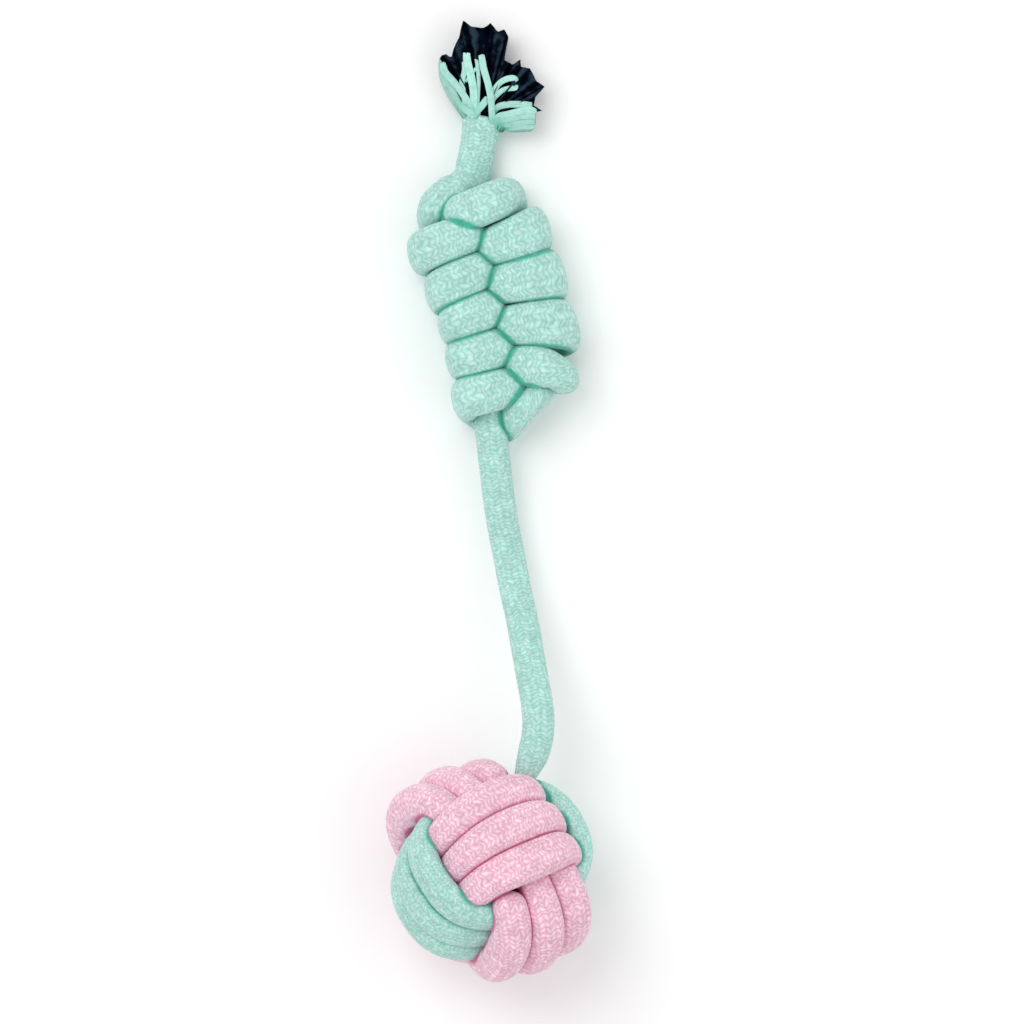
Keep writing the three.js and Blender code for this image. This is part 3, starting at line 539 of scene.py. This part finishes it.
def wind_axial(angle):
    """Height on the knot's axis: the rows' side heights at each half turn and the heights of the crossings
    between. Past either end the turns go on a pitch apart."""
    heights = WIND_ROWS[:, :2].ravel() * KNOT_PITCH
    quarters = WIND_KNOTS[0] + np.arange(-4, len(heights) + 4) * np.pi / 2
    heights = np.concatenate([heights[:4] - KNOT_PITCH, heights, heights[-4:] + KNOT_PITCH])
    return spline(quarters, heights, angle)


def wind_size(angle):
    """Thickness and height of the rope in the winding. It is as high as the turns on its own side are apart,
    less a share of that behind the lowest turn, and as thick as the section over its height, within limits.
    Where it crosses between the legs, weighted by a high power of the sine, both become the crossing's."""
    above = wind_axial(angle + 2 * np.pi) - wind_axial(angle)
    below = wind_axial(angle) - wind_axial(angle - 2 * np.pi)
    high = np.minimum((above + below) / 2, KNOT_WIDEST)
    place, spread, share = LOWEST_BACK
    high = high * (1 - share * smooth(1 - np.abs(np.degrees(angle) - place) / spread))
    cross = np.abs(np.sin(angle)) ** KNOT_CROSS_NARROWNESS
    thick = np.clip(KNOT_SECTION / high, KNOT_LEAST_THICK, KNOT_SIDE_THICK)
    return thick + (KNOT_CROSS_THICK - thick) * cross, high + (KNOT_CROSS_HIGH - high) * cross


def knot_point(side, axial, depth):
    """Points of the knot's own frame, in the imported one."""
    side, axial, depth = np.broadcast_arrays(side, axial, depth)
    flat = KNOT_CENTRE + side[..., None] * KNOT_SIDE + axial[..., None] * KNOT_AXIS
    return flat + depth[..., None] * UP


def wind_point(angle):
    """A figure-eight round two legs: minus the cosine times the reach sideways, the sine of the double angle,
    drawn out to flat tops by a power, times the depth towards the front, and the height of wind_axial. The
    last crossing lies further over to the left."""
    reach = KNOT_REACH * spline(WIND_KNOTS, WIND_ROWS[:, 2], angle) - wind_size(angle)[0] / 2
    double = np.sin(2 * angle)
    depth = KNOT_DEPTH * np.sign(double) * np.abs(double) ** KNOT_FLATNESS
    place, spread, shift = LAST_CROSSING
    near = smooth(1 - np.abs(np.degrees(angle) - place) / spread)
    return knot_point(shift * near - reach * np.cos(angle), wind_axial(angle), depth)


def shared_point(rows):
    """Points of the knot from rows of a side in halves of the legs' spacing, a height in pitches and a share
    of its depth."""
    side, axial, depth = rows.T
    return knot_point(side * LEG_HALF, axial * KNOT_PITCH, depth * KNOT_DEPTH)


def winding_line():
    """The knot's rope from the right leg's foot through the winding, past the bight and up the neck to
    its mouth, and the length of the neck. The lead takes on the winding's sizes in its second half. Along
    the tail they pass evenly into the neck's, which flares with the square of its run. A turn's width is
    its height times the cosine of its slope, plus the braid pressed together on both sides."""
    finer = 8
    angle = np.linspace(WIND_START, WIND_FINISH, WIND_STATIONS)
    fine_angle = np.linspace(WIND_START, WIND_FINISH, (WIND_STATIONS - 1) * finer + 1)
    wind = wind_point(angle)
    tangent = unit(np.gradient(wind_point(fine_angle), axis=0))[::finer]
    outward = np.cross(tangent, KNOT_AXIS) * np.where(np.cos(angle) >= 0, 1.0, -1.0)[:, None]
    lean = tangent @ KNOT_AXIS
    thick, high = wind_size(angle)
    wide = high * np.sqrt(1 - lean * lean) - 2 * SEAM

    lead = shared_point(LEAD_ROWS)
    neck = NECK_ROUTE / MM + SHIFT
    way = unit(neck[1] - neck[0])
    straight = neck[0] - np.array([ROPE, ROPE / 2])[:, None] * way
    tail = np.vstack([shared_point(TAIL_ROWS), straight])
    run = np.linalg.norm(neck - neck[0], axis=1) / np.linalg.norm(neck[-1] - neck[0])
    flare = NECK + (MOUTH - NECK) * run**2
    to_wind, to_neck = (np.arange(1, len(rows) + 1) / (len(rows) + 1) for rows in (lead, tail))
    lead_out = np.outer(1 - to_wind, KNOT_SIDE + UP) + np.outer(to_wind, outward[0])
    tail_out = np.outer(1 - to_neck, outward[-1]) + np.outer(to_neck, NECK_OUT)
    path = np.vstack([lead, wind, tail, neck])
    out = np.vstack([lead_out, outward, tail_out, np.tile(NECK_OUT, (len(neck), 1))])
    grown = smooth((to_wind - 0.5) * 2)
    sizes = []
    for size in (thick, wide):
        after = size[-1] + (NECK - size[-1]) * to_neck
        sizes.append(np.concatenate([LEAD + (size[0] - LEAD) * grown, size, after, flare]))
    per_span = 10
    smooth_path = catmull(path, per_span)
    at = np.linspace(0, len(path) - 1, len(smooth_path))
    knots = np.arange(len(path))
    out = np.stack([np.interp(at, knots, out[:, k]) for k in range(3)], axis=1)
    neck_length = lengths(smooth_path[-(len(neck) - 1) * per_span - 1 :])[-1]
    return (smooth_path, out, *(np.interp(at, knots, size) / 2 for size in sizes)), neck_length


def leg_line():
    """The core legs: from the shaft's head straight up the left leg, over the bight, which is half a circle,
    and down the right one."""
    arc = np.linspace(0, np.pi, 7)[1:-1]
    foot = LEAD_ROWS[0, 1] * KNOT_PITCH + CLEARANCE
    heights = np.array([foot, 0.0, LEG_TOP])
    left = knot_point(-LEG_HALF, heights, 0.0)
    over = knot_point(-LEG_HALF * np.cos(arc), LEG_TOP + LEG_HALF * np.sin(arc), 0.0)
    right = knot_point(LEG_HALF, heights[::-1], 0.0)
    path = catmull(np.vstack([SHAFT_ROUTE[0] / MM + SHIFT, left, over, right]))
    half_size = np.full(len(path), LEG / 2)
    return path, np.tile(UP, (len(path), 1)), half_size, half_size


def open_mouth(rings, uv, values):
    """The neck's rings carried round a lip, which is half a circle, and straight back down the bore. The last
    ring's yarn coordinates and fields go on over them."""
    centre = rings[-1].mean(0)
    way = unit(centre - rings[-3].mean(0))
    spoke = rings[-1] - centre
    lip_steps, steps = 6, 13
    lip = (MOUTH - MOUTH_BORE) / 4
    share = MOUTH_BORE / MOUTH
    stitches_each = 0.3
    extra = []
    for step in np.arange(1, lip_steps + 1) / steps:
        turn = step * 2 * np.pi
        inwards = share + (1 - share) * (1 + math.cos(turn)) / 2
        extra.append(centre + spoke * inwards + way * lip * math.sin(turn))
    for step in np.arange(lip_steps + 1, steps + 1) / steps:
        extra.append(centre + spoke * share - way * (step - 0.5) * 2 * MOUTH_DEEP)
    rings = np.concatenate([rings, np.array(extra)])
    more = np.repeat(uv[-1:], steps, axis=0).copy()
    more[..., 0] += np.arange(1, steps + 1)[:, None] * stitches_each
    uv = np.concatenate([uv, more])
    for key, field in values.items():
        values[key] = np.concatenate([field, np.repeat(field[-1:], steps, axis=0)])
    return rings, uv, values


def build_knot(lines, neck_length, mint):
    """The winding, the neck that it ends in, and the core legs."""
    winding, core = "handle_winding", "core_legs"
    section = {"step": 0.56, "sides": 62, "squareness": 2.25, "domes": (True, False)}
    made = rope(lines[winding], others(lines, winding), COLUMNS[winding], seed=11, **section)
    split = int(np.searchsorted(made[3], made[3][-1] - neck_length))
    obj = piece("handle_winding_rope", rope_mesh("winding", made, 0, split + 1), mint)
    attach(obj, "handle")
    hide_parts(winding)

    rings, uv, values, _ = made
    values = {key: field[split:] for key, field in values.items()}
    rings, uv, values = open_mouth(rings[split:], uv[split:], values)
    neck = piece("neck_sheath_rope", grid_mesh("neck", rings, uv, values), mint)
    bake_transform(neck)
    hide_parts("neck_sheath")

    section = {"step": 0.8, "sides": 56, "squareness": 2}
    legs = rope(lines[core], others(lines, core), COLUMNS[core], seed=17, **section)
    obj = piece("handle_core_rope", rope_mesh("core", legs), mint)
    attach(obj, "handle")
    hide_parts("handle_core_legs")


# Shaft
def shaft_line():
    """The shaft's route, on into the ball along the diagonal between the three bands. On the way in its
    diameter goes smoothly over to that of its hidden end."""
    corner = unit(BALL_FRONT + BALL_RIGHT + BALL_TOP)
    end = FILLER_RADIUS + CLEARANCE
    inwards = np.array([SHAFT_MOUTH, SHAFT_MOUTH + (end - SHAFT_MOUTH) / 3, end])
    inside = BALL_CENTRE + inwards[:, None] * corner
    path = catmull(np.vstack([SHAFT_ROUTE / MM + SHIFT, inside]))
    run = lengths(path)
    tuck = 1 - (SHAFT_MOUTH - FILLER_RADIUS) / run[-1]
    thinned = smooth((run / run[-1] - tuck) / (1 - tuck) / SHAFT_TUCK_RUN)
    size = (ROPE + (SHAFT_TUCK - ROPE) * thinned) / 2
    return path, np.tile(UP, (len(path), 1)), size, size


def build_shaft(lines, mint):
    """The shaft's two halves, split at a share of its length."""
    shaft = "shaft"
    path = lines[shaft][0]
    run = lengths(path)
    section = {"squareness": 2.05, "domes": (False, True)}
    made = rope(lines[shaft], others(lines, shaft), COLUMNS[shaft], seed=7, **section)
    u = made[3]
    split_at = SHAFT_SPLIT * run[-1]
    split = int(np.searchsorted(u, split_at))

    def at(length):
        return np.array([np.interp(length, run, path[:, k]) for k in range(3)]) * MM

    def points(start, end, count=24):
        return [tuple(at(length)) for length in np.linspace(start, end, count)]

    upper = piece("shaft_upper_rope", rope_mesh("upper", made, 0, split + 1), mint)
    lower = piece("shaft_lower_rope", rope_mesh("lower", made, split, None), mint)
    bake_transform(upper)
    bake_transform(lower)
    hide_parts("shaft_upper")
    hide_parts("shaft_lower")


# Fray
def fray_place(ahead, aside, lift):
    """A place in the fray: how far ahead of the mouth, aside to the right and above the neck's middle."""
    flat = MOUTH_PLACE + ahead[..., None] * MOUTH_WAY + aside[..., None] * FAN_RIGHT
    return flat + lift[..., None] * NECK_OUT


def fan_place(radius, fan, lift):
    """A place in the fray: distance from the mouth, angle to the right of the neck's way, and lift."""
    radius, fan, lift = np.broadcast_arrays(radius, fan, lift)
    return fray_place(radius * np.cos(fan), radius * np.sin(fan), lift)


def clump_mesh(name, middle, half_fan, share, side, rng):
    """A wedge of core yarns on an ellipse's cosine and sine: the cosine spreads it over its fan, the sine
    gives it its thickness. That swells evenly from the root and, from half way on, falls by a smooth root
    to the cut edge, which follows the edge's radius over the fan. Soft pleats run along it, a sum of
    cosines across it."""
    stations, sides = 60, 96
    turn = np.linspace(0, 2 * np.pi, sides, endpoint=False)
    x, y = np.cos(turn), np.sin(turn)
    spread = np.radians(middle) + np.arctan(x * math.tan(math.radians(half_fan)))
    length = STRAND * share * np.interp(np.degrees(spread), *NAVY_EDGE.T)
    pleats = [(rng.uniform(0.14, 0.24), waves, rng.uniform(0, 6)) for waves in (3.2, 5.5, 9.0)]
    s = np.linspace(0, 1, stations)[:, None]
    folds = sum(size * np.cos(x * waves + phase + 1.3 * s) for size, waves, phase in pleats)
    radius = CLUMP_START + (length - CLUMP_START) * s
    half = (CLUMP_ROOT + (CLUMP_THICK - CLUMP_ROOT) * s) / 2
    thin = np.sqrt(1 - smooth((s - 0.5) / 0.5) * CLUMP_CUT_FALL)
    centre_lift = side * (half + CLEARANCE + (s * half if side > 0 else 0))
    lift = centre_lift + half * thin * (y * (0.95 + folds) + 0.3 * folds)
    rings = fan_place(radius, spread + 0 * s, lift)
    uv = np.zeros((stations, sides + 1, 2))
    uv[:, :sides, 0] = x * 3
    uv[:, sides, 0] = uv[:, 0, 0]
    uv[..., 1] = s * STRAND * share / 10
    # the fold field sets painted shade in the pleats' hollows and a painted highlight on their crowns
    return grid_mesh(name, rings[:, ::-1], uv, {"fold": 0.5 + folds})


def ribbon_mesh(name, places, width, rng):
    """A flat bundle of sheath yarns along a smooth line through its places. Its section is the sine
    across and the cosine in thickness, each to a power that squares it, less a groove between two yarns
    and plus a sine wave's ripple. It opens to its width, its end thins, and there the yarns are cut at
    steps of length. Its broad side turns from the mouth's rim to the neck's front. Its fields are the
    groove, which sets painted shade in the grooves and a painted highlight between them, the tone of the
    whole ribbon, a random share plus painted light that grows with its lift, and the painted shade of the
    mouth, deeper on low ribbons."""
    ahead, aside, lift = np.array(places).T * np.array([[FRAY_GROWTH], [FRAY_GROWTH], [1]])
    path = catmull(fray_place(ahead, aside, lift))
    share = np.linspace(0, 1, len(path))[:, None]
    rim = unit(aside[0] * FAN_RIGHT + lift[0] * NECK_OUT)
    underside = -2
    facing = rim * (1 - share) + NECK_OUT * share * (1 if lift[-1] > underside else -1)
    u, centre, (outward,) = resample(path, RIBBON_STEP, facing)
    tangent, outward, across = frames(centre, outward)
    sides = 48
    turn = np.linspace(0, 2 * np.pi, sides, endpoint=False)
    c, s = np.cos(turn), np.sin(turn)
    x, y = np.sign(s) * np.abs(s) ** 0.75, np.sign(c) * np.abs(c) ** 0.8
    yarn = (s + 1) * RIBBON_YARNS / 2
    groove = 1 - RIBBON_GROOVE * (1 - np.abs(np.sin(np.pi * yarn))) ** 3
    ripple = RIBBON_RIPPLE * np.sin(u[:, None] * 0.7 + 2.1 * s + rng.uniform(0, 6))
    cuts = rng.uniform(-RIBBON_CUTS, 0.0, RIBBON_YARNS + 1)
    step = np.interp(np.floor(yarn), range(RIBBON_YARNS + 1), cuts)
    to_end = u - u[-1]
    near_end = np.clip(to_end / RIBBON_END + 1, 0, 1)[:, None]
    taper = 1 - 0.6 * smooth(to_end / RIBBON_THINNING + 1)[:, None]
    opened = width * (RIBBON_ROOT_SHARE + (1 - RIBBON_ROOT_SHARE) * smooth(u / RIBBON_OPENING))[:, None]
    px = opened / 2 * x * (1 - 0.15 * near_end)
    py = RIBBON_THICK / 2 * y * groove * taper + ripple
    tip = near_end * step
    rings = centre[:, None] + px[..., None] * across[:, None] + py[..., None] * outward[:, None]
    rings = rings + tip[..., None] * tangent[:, None]
    uv = np.zeros((len(u), sides + 1, 2))
    uv[:, :sides, 0] = x * 2
    uv[:, sides, 0] = uv[:, 0, 0]
    uv[..., 1] = (u / 4)[:, None]
    crown = np.tile(np.clip(groove, 0, 1), (len(u), 1))
    # painted light: higher-lying ribbons lighter, plus a random tone for each ribbon
    tone_and_painted_light = np.full_like(crown, smooth((lift.mean() - 2) / 6) * 0.7 + rng.uniform(0, 0.3))
    # painted shade of the mouth, deeper on low ribbons, fading over RIBBON_SHADED
    shade = 0.35 + 0.65 * smooth((7 - lift.mean()) / 3)
    pressed = (1 - smooth(u / RIBBON_SHADED))[:, None] * shade + 0 * crown
    return grid_mesh(name, rings, uv, {"crown": crown, "tone_and_painted_light": tone_and_painted_light, "pressed": pressed})


def build_fray(mint, navy):
    """The core's clumps in two layers, the neck core's finish, and the sheath's ribbons."""
    rng = np.random.default_rng(5)
    for layer, rows in CLUMP_ROWS.items():
        for number, (middle, half_fan, share) in enumerate(rows, 1):
            node = f"core_clump_{layer}_{number}"
            mesh = clump_mesh(node, middle, half_fan, share, 1 if layer == "front" else -1, rng)
            obj = piece(f"core_strands_{layer}_{number}", mesh, navy)
            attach(obj, "tassel")
            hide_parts(node)
    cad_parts["neck_core"].material_slots[0].material = navy

    for number, (solid, width, places) in enumerate(RIBBONS, 1):
        mesh = ribbon_mesh("ribbon", places, width, rng)
        obj = piece(f"sheath_ribbon_{number:02d}", mesh, mint)
        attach(obj, "tassel")
        if solid:
            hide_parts(f"sheath_yarn_{solid:02d}")


# Finishes
def linear(colour):
    """Linear red, green, blue and alpha of an sRGB colour written #rrggbb."""
    parts = [int(colour[k : k + 2], 16) / 255 for k in (1, 3, 5)]
    return tuple(p / 12.92 if p <= 0.04045 else ((p + 0.055) / 1.055) ** 2.4 for p in parts) + (1.0,)


def add(tree, kind, values=(), stops=(), **settings):
    """The outputs of a new shader node with its settings, its inputs set to values or linked to sockets, by
    name or in order, and its colour ramp, if it has one, laid through (place, colour) stops."""
    made = tree.nodes.new(f"ShaderNode{kind}")
    for key, value in settings.items():
        setattr(made, key, value)
    for key, value in values.items() if isinstance(values, dict) else enumerate(values):
        if isinstance(value, bpy.types.NodeSocket):
            tree.links.new(value, made.inputs[key])
        else:
            made.inputs[key].default_value = value
    if stops:
        elements = made.color_ramp.elements
        while len(elements) < len(stops):
            elements.new(0.5)
        for element, (place, colour) in zip(elements, stops):
            element.position, element.color = place, linear(colour)
    return made.outputs


def stitches(tree, uv):
    """Height and tone of each stitch from the yarn coordinates. The height is the braid's own formula.
    The tone is one random number for each stitch of each column."""
    split = add(tree, "SeparateXYZ", (uv,))
    climb = add(tree, "Math", (split["Y"], 1.0), operation="PINGPONG")[0]
    along = add(tree, "Math", (climb, SLANT, split["X"]), operation="MULTIPLY_ADD")[0]
    rises = []
    for coordinate, fall in ((along, STITCH_FALL), (split["Y"], COLUMN_FALL)):
        share = add(tree, "Math", (coordinate,), operation="FRACT")[0]
        off_middle = add(tree, "Math", (share, 2.0, -1.0), operation="MULTIPLY_ADD")[0]
        distance = add(tree, "Math", (off_middle,), operation="ABSOLUTE")[0]
        squared = add(tree, "Math", (distance, 2.0), operation="POWER")[0]
        rises.append(add(tree, "Math", (squared, -fall, 1.0), operation="MULTIPLY_ADD")[0])
    height = add(tree, "Math", rises, operation="MULTIPLY")[0]
    row = add(tree, "Math", (along,), operation="FLOOR")[0]
    column = add(tree, "Math", (split["Y"],), operation="FLOOR")[0]
    number = add(tree, "Math", (column, float(COLUMNS["ball"])), operation="FLOORED_MODULO")[0]
    each = add(tree, "CombineXYZ", (row, number))[0]
    tone = add(tree, "TexWhiteNoise", {"Vector": each}, noise_dimensions="2D")["Value"]
    return height, tone


def new_material(name):
    """An empty material and its nodes."""
    material = bpy.data.materials.new(name)
    material.use_nodes = True
    material.node_tree.nodes.clear()
    return material, material.node_tree


def yarn_material(
    name, seam_shade, base, light, painted_shade_colour=None, field=None, streak=(9.0, 1.2), relief=0.25, sheen=0.3, unlike=0.2,
    gloss=0.2, mottle=1.0, patches=500.0,
):
    """Cotton yarn. Its colour runs from the seam's through the base to the light one with the height of
    the stitch, or with the named field of folds or grooves, clouded by patches of 2 or 4 mm: painted shade in
    the seams, folds and grooves, and a painted highlight on the crowns. The deep colour is painted shade,
    laid over it where rope is pressed against rope and at the ribbons' roots by the mouth. All that is scaled
    by a
    level: a tone for each stitch or bundle, as unlike as given, which on the ribbons also holds painted light
    that grows with their lift, plus fibres along the yarn and soft wear over 25 mm. The bump is the stitches'
    height, the fibres' and a fuzz of 0.3 mm."""
    material, tree = new_material(name)
    uv = add(tree, "UVMap", uv_map="yarn")["UV"]
    place = add(tree, "TexCoord")["Object"]
    if field:
        crown = add(tree, "Attribute", attribute_name=field)["Fac"]
        tone_and_painted_light = add(tree, "Attribute", attribute_name="tone_and_painted_light")["Fac"]
    else:
        shake = add(tree, "TexNoise", {"Vector": place, "Scale": SHAKE_NOISE, "Detail": 1.0})["Color"]
        shaken = add(tree, "VectorMath", (shake, SHAKE_REACH, uv), operation="MULTIPLY_ADD")[0]
        crown, tone_and_painted_light = stitches(tree, shaken)
    lay = add(tree, "Mapping", {"Vector": uv, "Scale": (*streak, 1.0)})["Vector"]
    fibre = add(tree, "TexNoise", {"Vector": lay, "Scale": 1.0, "Detail": 3.0})["Fac"]
    fuzz = add(tree, "TexNoise", {"Vector": place, "Scale": FUZZ_NOISE, "Detail": 2.0})["Fac"]
    wear = add(tree, "TexNoise", {"Vector": place, "Scale": WEAR_NOISE, "Detail": 2.0})["Fac"]
    patch = add(tree, "TexNoise", {"Vector": place, "Scale": patches, "Detail": 2.0})["Fac"]
    cloud = add(tree, "Math", (patch, 0.5), operation="SUBTRACT")[0]
    clouded = add(tree, "Math", (cloud, mottle, crown), operation="MULTIPLY_ADD")[0]
    # painted shade in the seams, folds and grooves, and a painted highlight on the crowns
    stops = ((0.1, seam_shade), (0.6, base), (1.0, light))
    colour = add(tree, "ValToRGB", (clouded,), stops)["Color"]
    # painted shade: the deep colour laid over the rest where ropes press together and at the ribbons' roots
    if painted_shade_colour:
        pressed = add(tree, "Attribute", attribute_name="pressed")["Fac"]
        share = add(tree, "Math", (pressed, PAINTED_SHADE_SHARE), operation="MULTIPLY")[0]
        colour = add(tree, "Mix", {0: share, 6: colour, 7: linear(painted_shade_colour)}, data_type="RGBA")[2]
    # the tone: random for each stitch or bundle; on the ribbons it also holds painted light that grows with
    # lift
    tone = add(tree, "Math", (tone_and_painted_light, unlike, 1 - unlike / 2), operation="MULTIPLY_ADD")[0]
    strand = add(tree, "Math", (fibre, FIBRE_TONE, tone), operation="MULTIPLY_ADD")[0]
    worn = add(tree, "Math", (wear, WEAR_TONE, strand), operation="MULTIPLY_ADD")[0]
    level = add(tree, "Math", (worn, (FIBRE_TONE + WEAR_TONE) / 2), operation="SUBTRACT")[0]
    shade = add(tree, "VectorMath", {0: colour, "Scale": level}, operation="SCALE")[0]
    rough = add(tree, "Math", (fuzz, 0.5, fibre), operation="MULTIPLY_ADD")[0]
    height = add(tree, "Math", (crown, rough), operation="ADD")[0]
    bump = add(tree, "Bump", {"Strength": relief, "Distance": BUMP_DEPTH, "Height": height})["Normal"]
    values = {
        "Base Color": shade,
        "Roughness": 0.92,
        "Normal": bump,
        "Sheen Weight": sheen,
        "Sheen Roughness": 0.5,
        "Specular IOR Level": gloss,
    }
    shader = add(tree, "BsdfPrincipled", values)["BSDF"]
    add(tree, "OutputMaterial", {"Surface": shader})
    return material


def plain_material(name, dark, light, scale, relief=0.3):
    """A matt finish whose colour and bump follow one noise between a dark and a light tone."""
    material, tree = new_material(name)
    place = add(tree, "TexCoord")["Object"]
    cloud = add(tree, "TexNoise", {"Vector": place, "Scale": scale, "Detail": 4.0})["Fac"]
    colour = add(tree, "ValToRGB", (cloud,), ((0.3, dark), (0.7, light)))["Color"]
    bump = add(tree, "Bump", {"Strength": relief, "Distance": BUMP_DEPTH, "Height": cloud})["Normal"]
    values = {"Base Color": colour, "Roughness": 0.95, "Normal": bump}
    shader = add(tree, "BsdfPrincipled", values)["BSDF"]
    add(tree, "OutputMaterial", {"Surface": shader})
    return material


# Stage
def build_stage():
    """A plain pale floor under the toy, soft area lights above it, and a pale world."""
    bpy.ops.mesh.primitive_plane_add(size=6.0, location=(0, 0, 0))
    floor = bpy.context.object
    floor.name = "floor"
    floor.data.materials.append(plain_material("pale_floor", "#fbfbfb", "#ffffff", 8.0, 0.0))
    for name, place, size, power in LIGHTS:
        data = bpy.data.lights.new(name, "AREA")
        data.energy, data.size = power, size
        light = bpy.data.objects.new(name, data)
        light.location = place
        aim = -np.array(place)
        light.rotation_euler = Vector(aim).to_track_quat("-Z", "Y").to_euler()
        bpy.context.scene.collection.objects.link(light)
    world = bpy.data.worlds.new("studio")
    world.use_nodes = True
    background = world.node_tree.nodes["Background"]
    background.inputs["Color"].default_value = (1, 1, 1, 1)
    background.inputs["Strength"].default_value = WORLD_LIGHT
    bpy.context.scene.world = world
    bpy.context.scene.view_settings.view_transform = "Standard"


set_camera()
# Dyed cotton, braided: dry and matt with a soft sheen, a painted highlight on the stitches' crowns, painted
# shade in their seams and a deeper painted shade where turns are pressed
mint = yarn_material("mint_braided_cotton", "#8ecbbd", "#a7d5cb", "#c1e3db", painted_shade_colour="#2bab93")
pink = yarn_material("pink_braided_cotton", "#e1a5be", "#eab9cc", "#f7dae5", painted_shade_colour="#cf4584")
# The mint sheath's yarn, unbraided and cut: flat bundles that differ in tone at random and by painted light
# that grows with their lift, with fine lines along them, painted shade in their grooves and at the mouth
mint_fray = yarn_material(
    "mint_cotton_yarn", "#5cb29e", "#82bfb1", "#a6d2c8", painted_shade_colour="#2fae93", field="crown", streak=(5.0, 0.7),
    unlike=0.6,
)
# Dyed core yarn, packed and cut: without gloss, painted shade near black in its folds and a painted blue-grey
# highlight on their crowns
navy = yarn_material(
    "navy_core_yarn", "#010209", "#08101c", "#2a3b4a", field="fold", streak=(6.0, 0.8), relief=0.4, sheen=0.0,
    gloss=0.0, mottle=1.6, patches=260.0,
)
# Carded cotton, undyed and pressed: a cream filling that only a gap between the turns shows
wadding = plain_material("cotton_wadding", "#d9d2c4", "#efeae0", 900.0)
winding, neck_length = winding_line()
rope_lines = {
    "shaft": shaft_line(),
    "handle_winding": winding,
    "core_legs": leg_line(),
    "ball_pink_front": band_line("ball_pink_front", BALL_FRONT, BALL_RIGHT, BALL_TOP),
    "ball_mint": band_line("ball_mint", BALL_RIGHT, BALL_TOP, BALL_FRONT),
    "ball_pink_end": band_line("ball_pink_end", BALL_TOP, BALL_FRONT, BALL_RIGHT),
}
build_shaft(rope_lines, mint)
build_knot(rope_lines, neck_length, mint)
build_ball(rope_lines, mint, pink, wadding)
build_fray(mint_fray, navy)
build_stage()
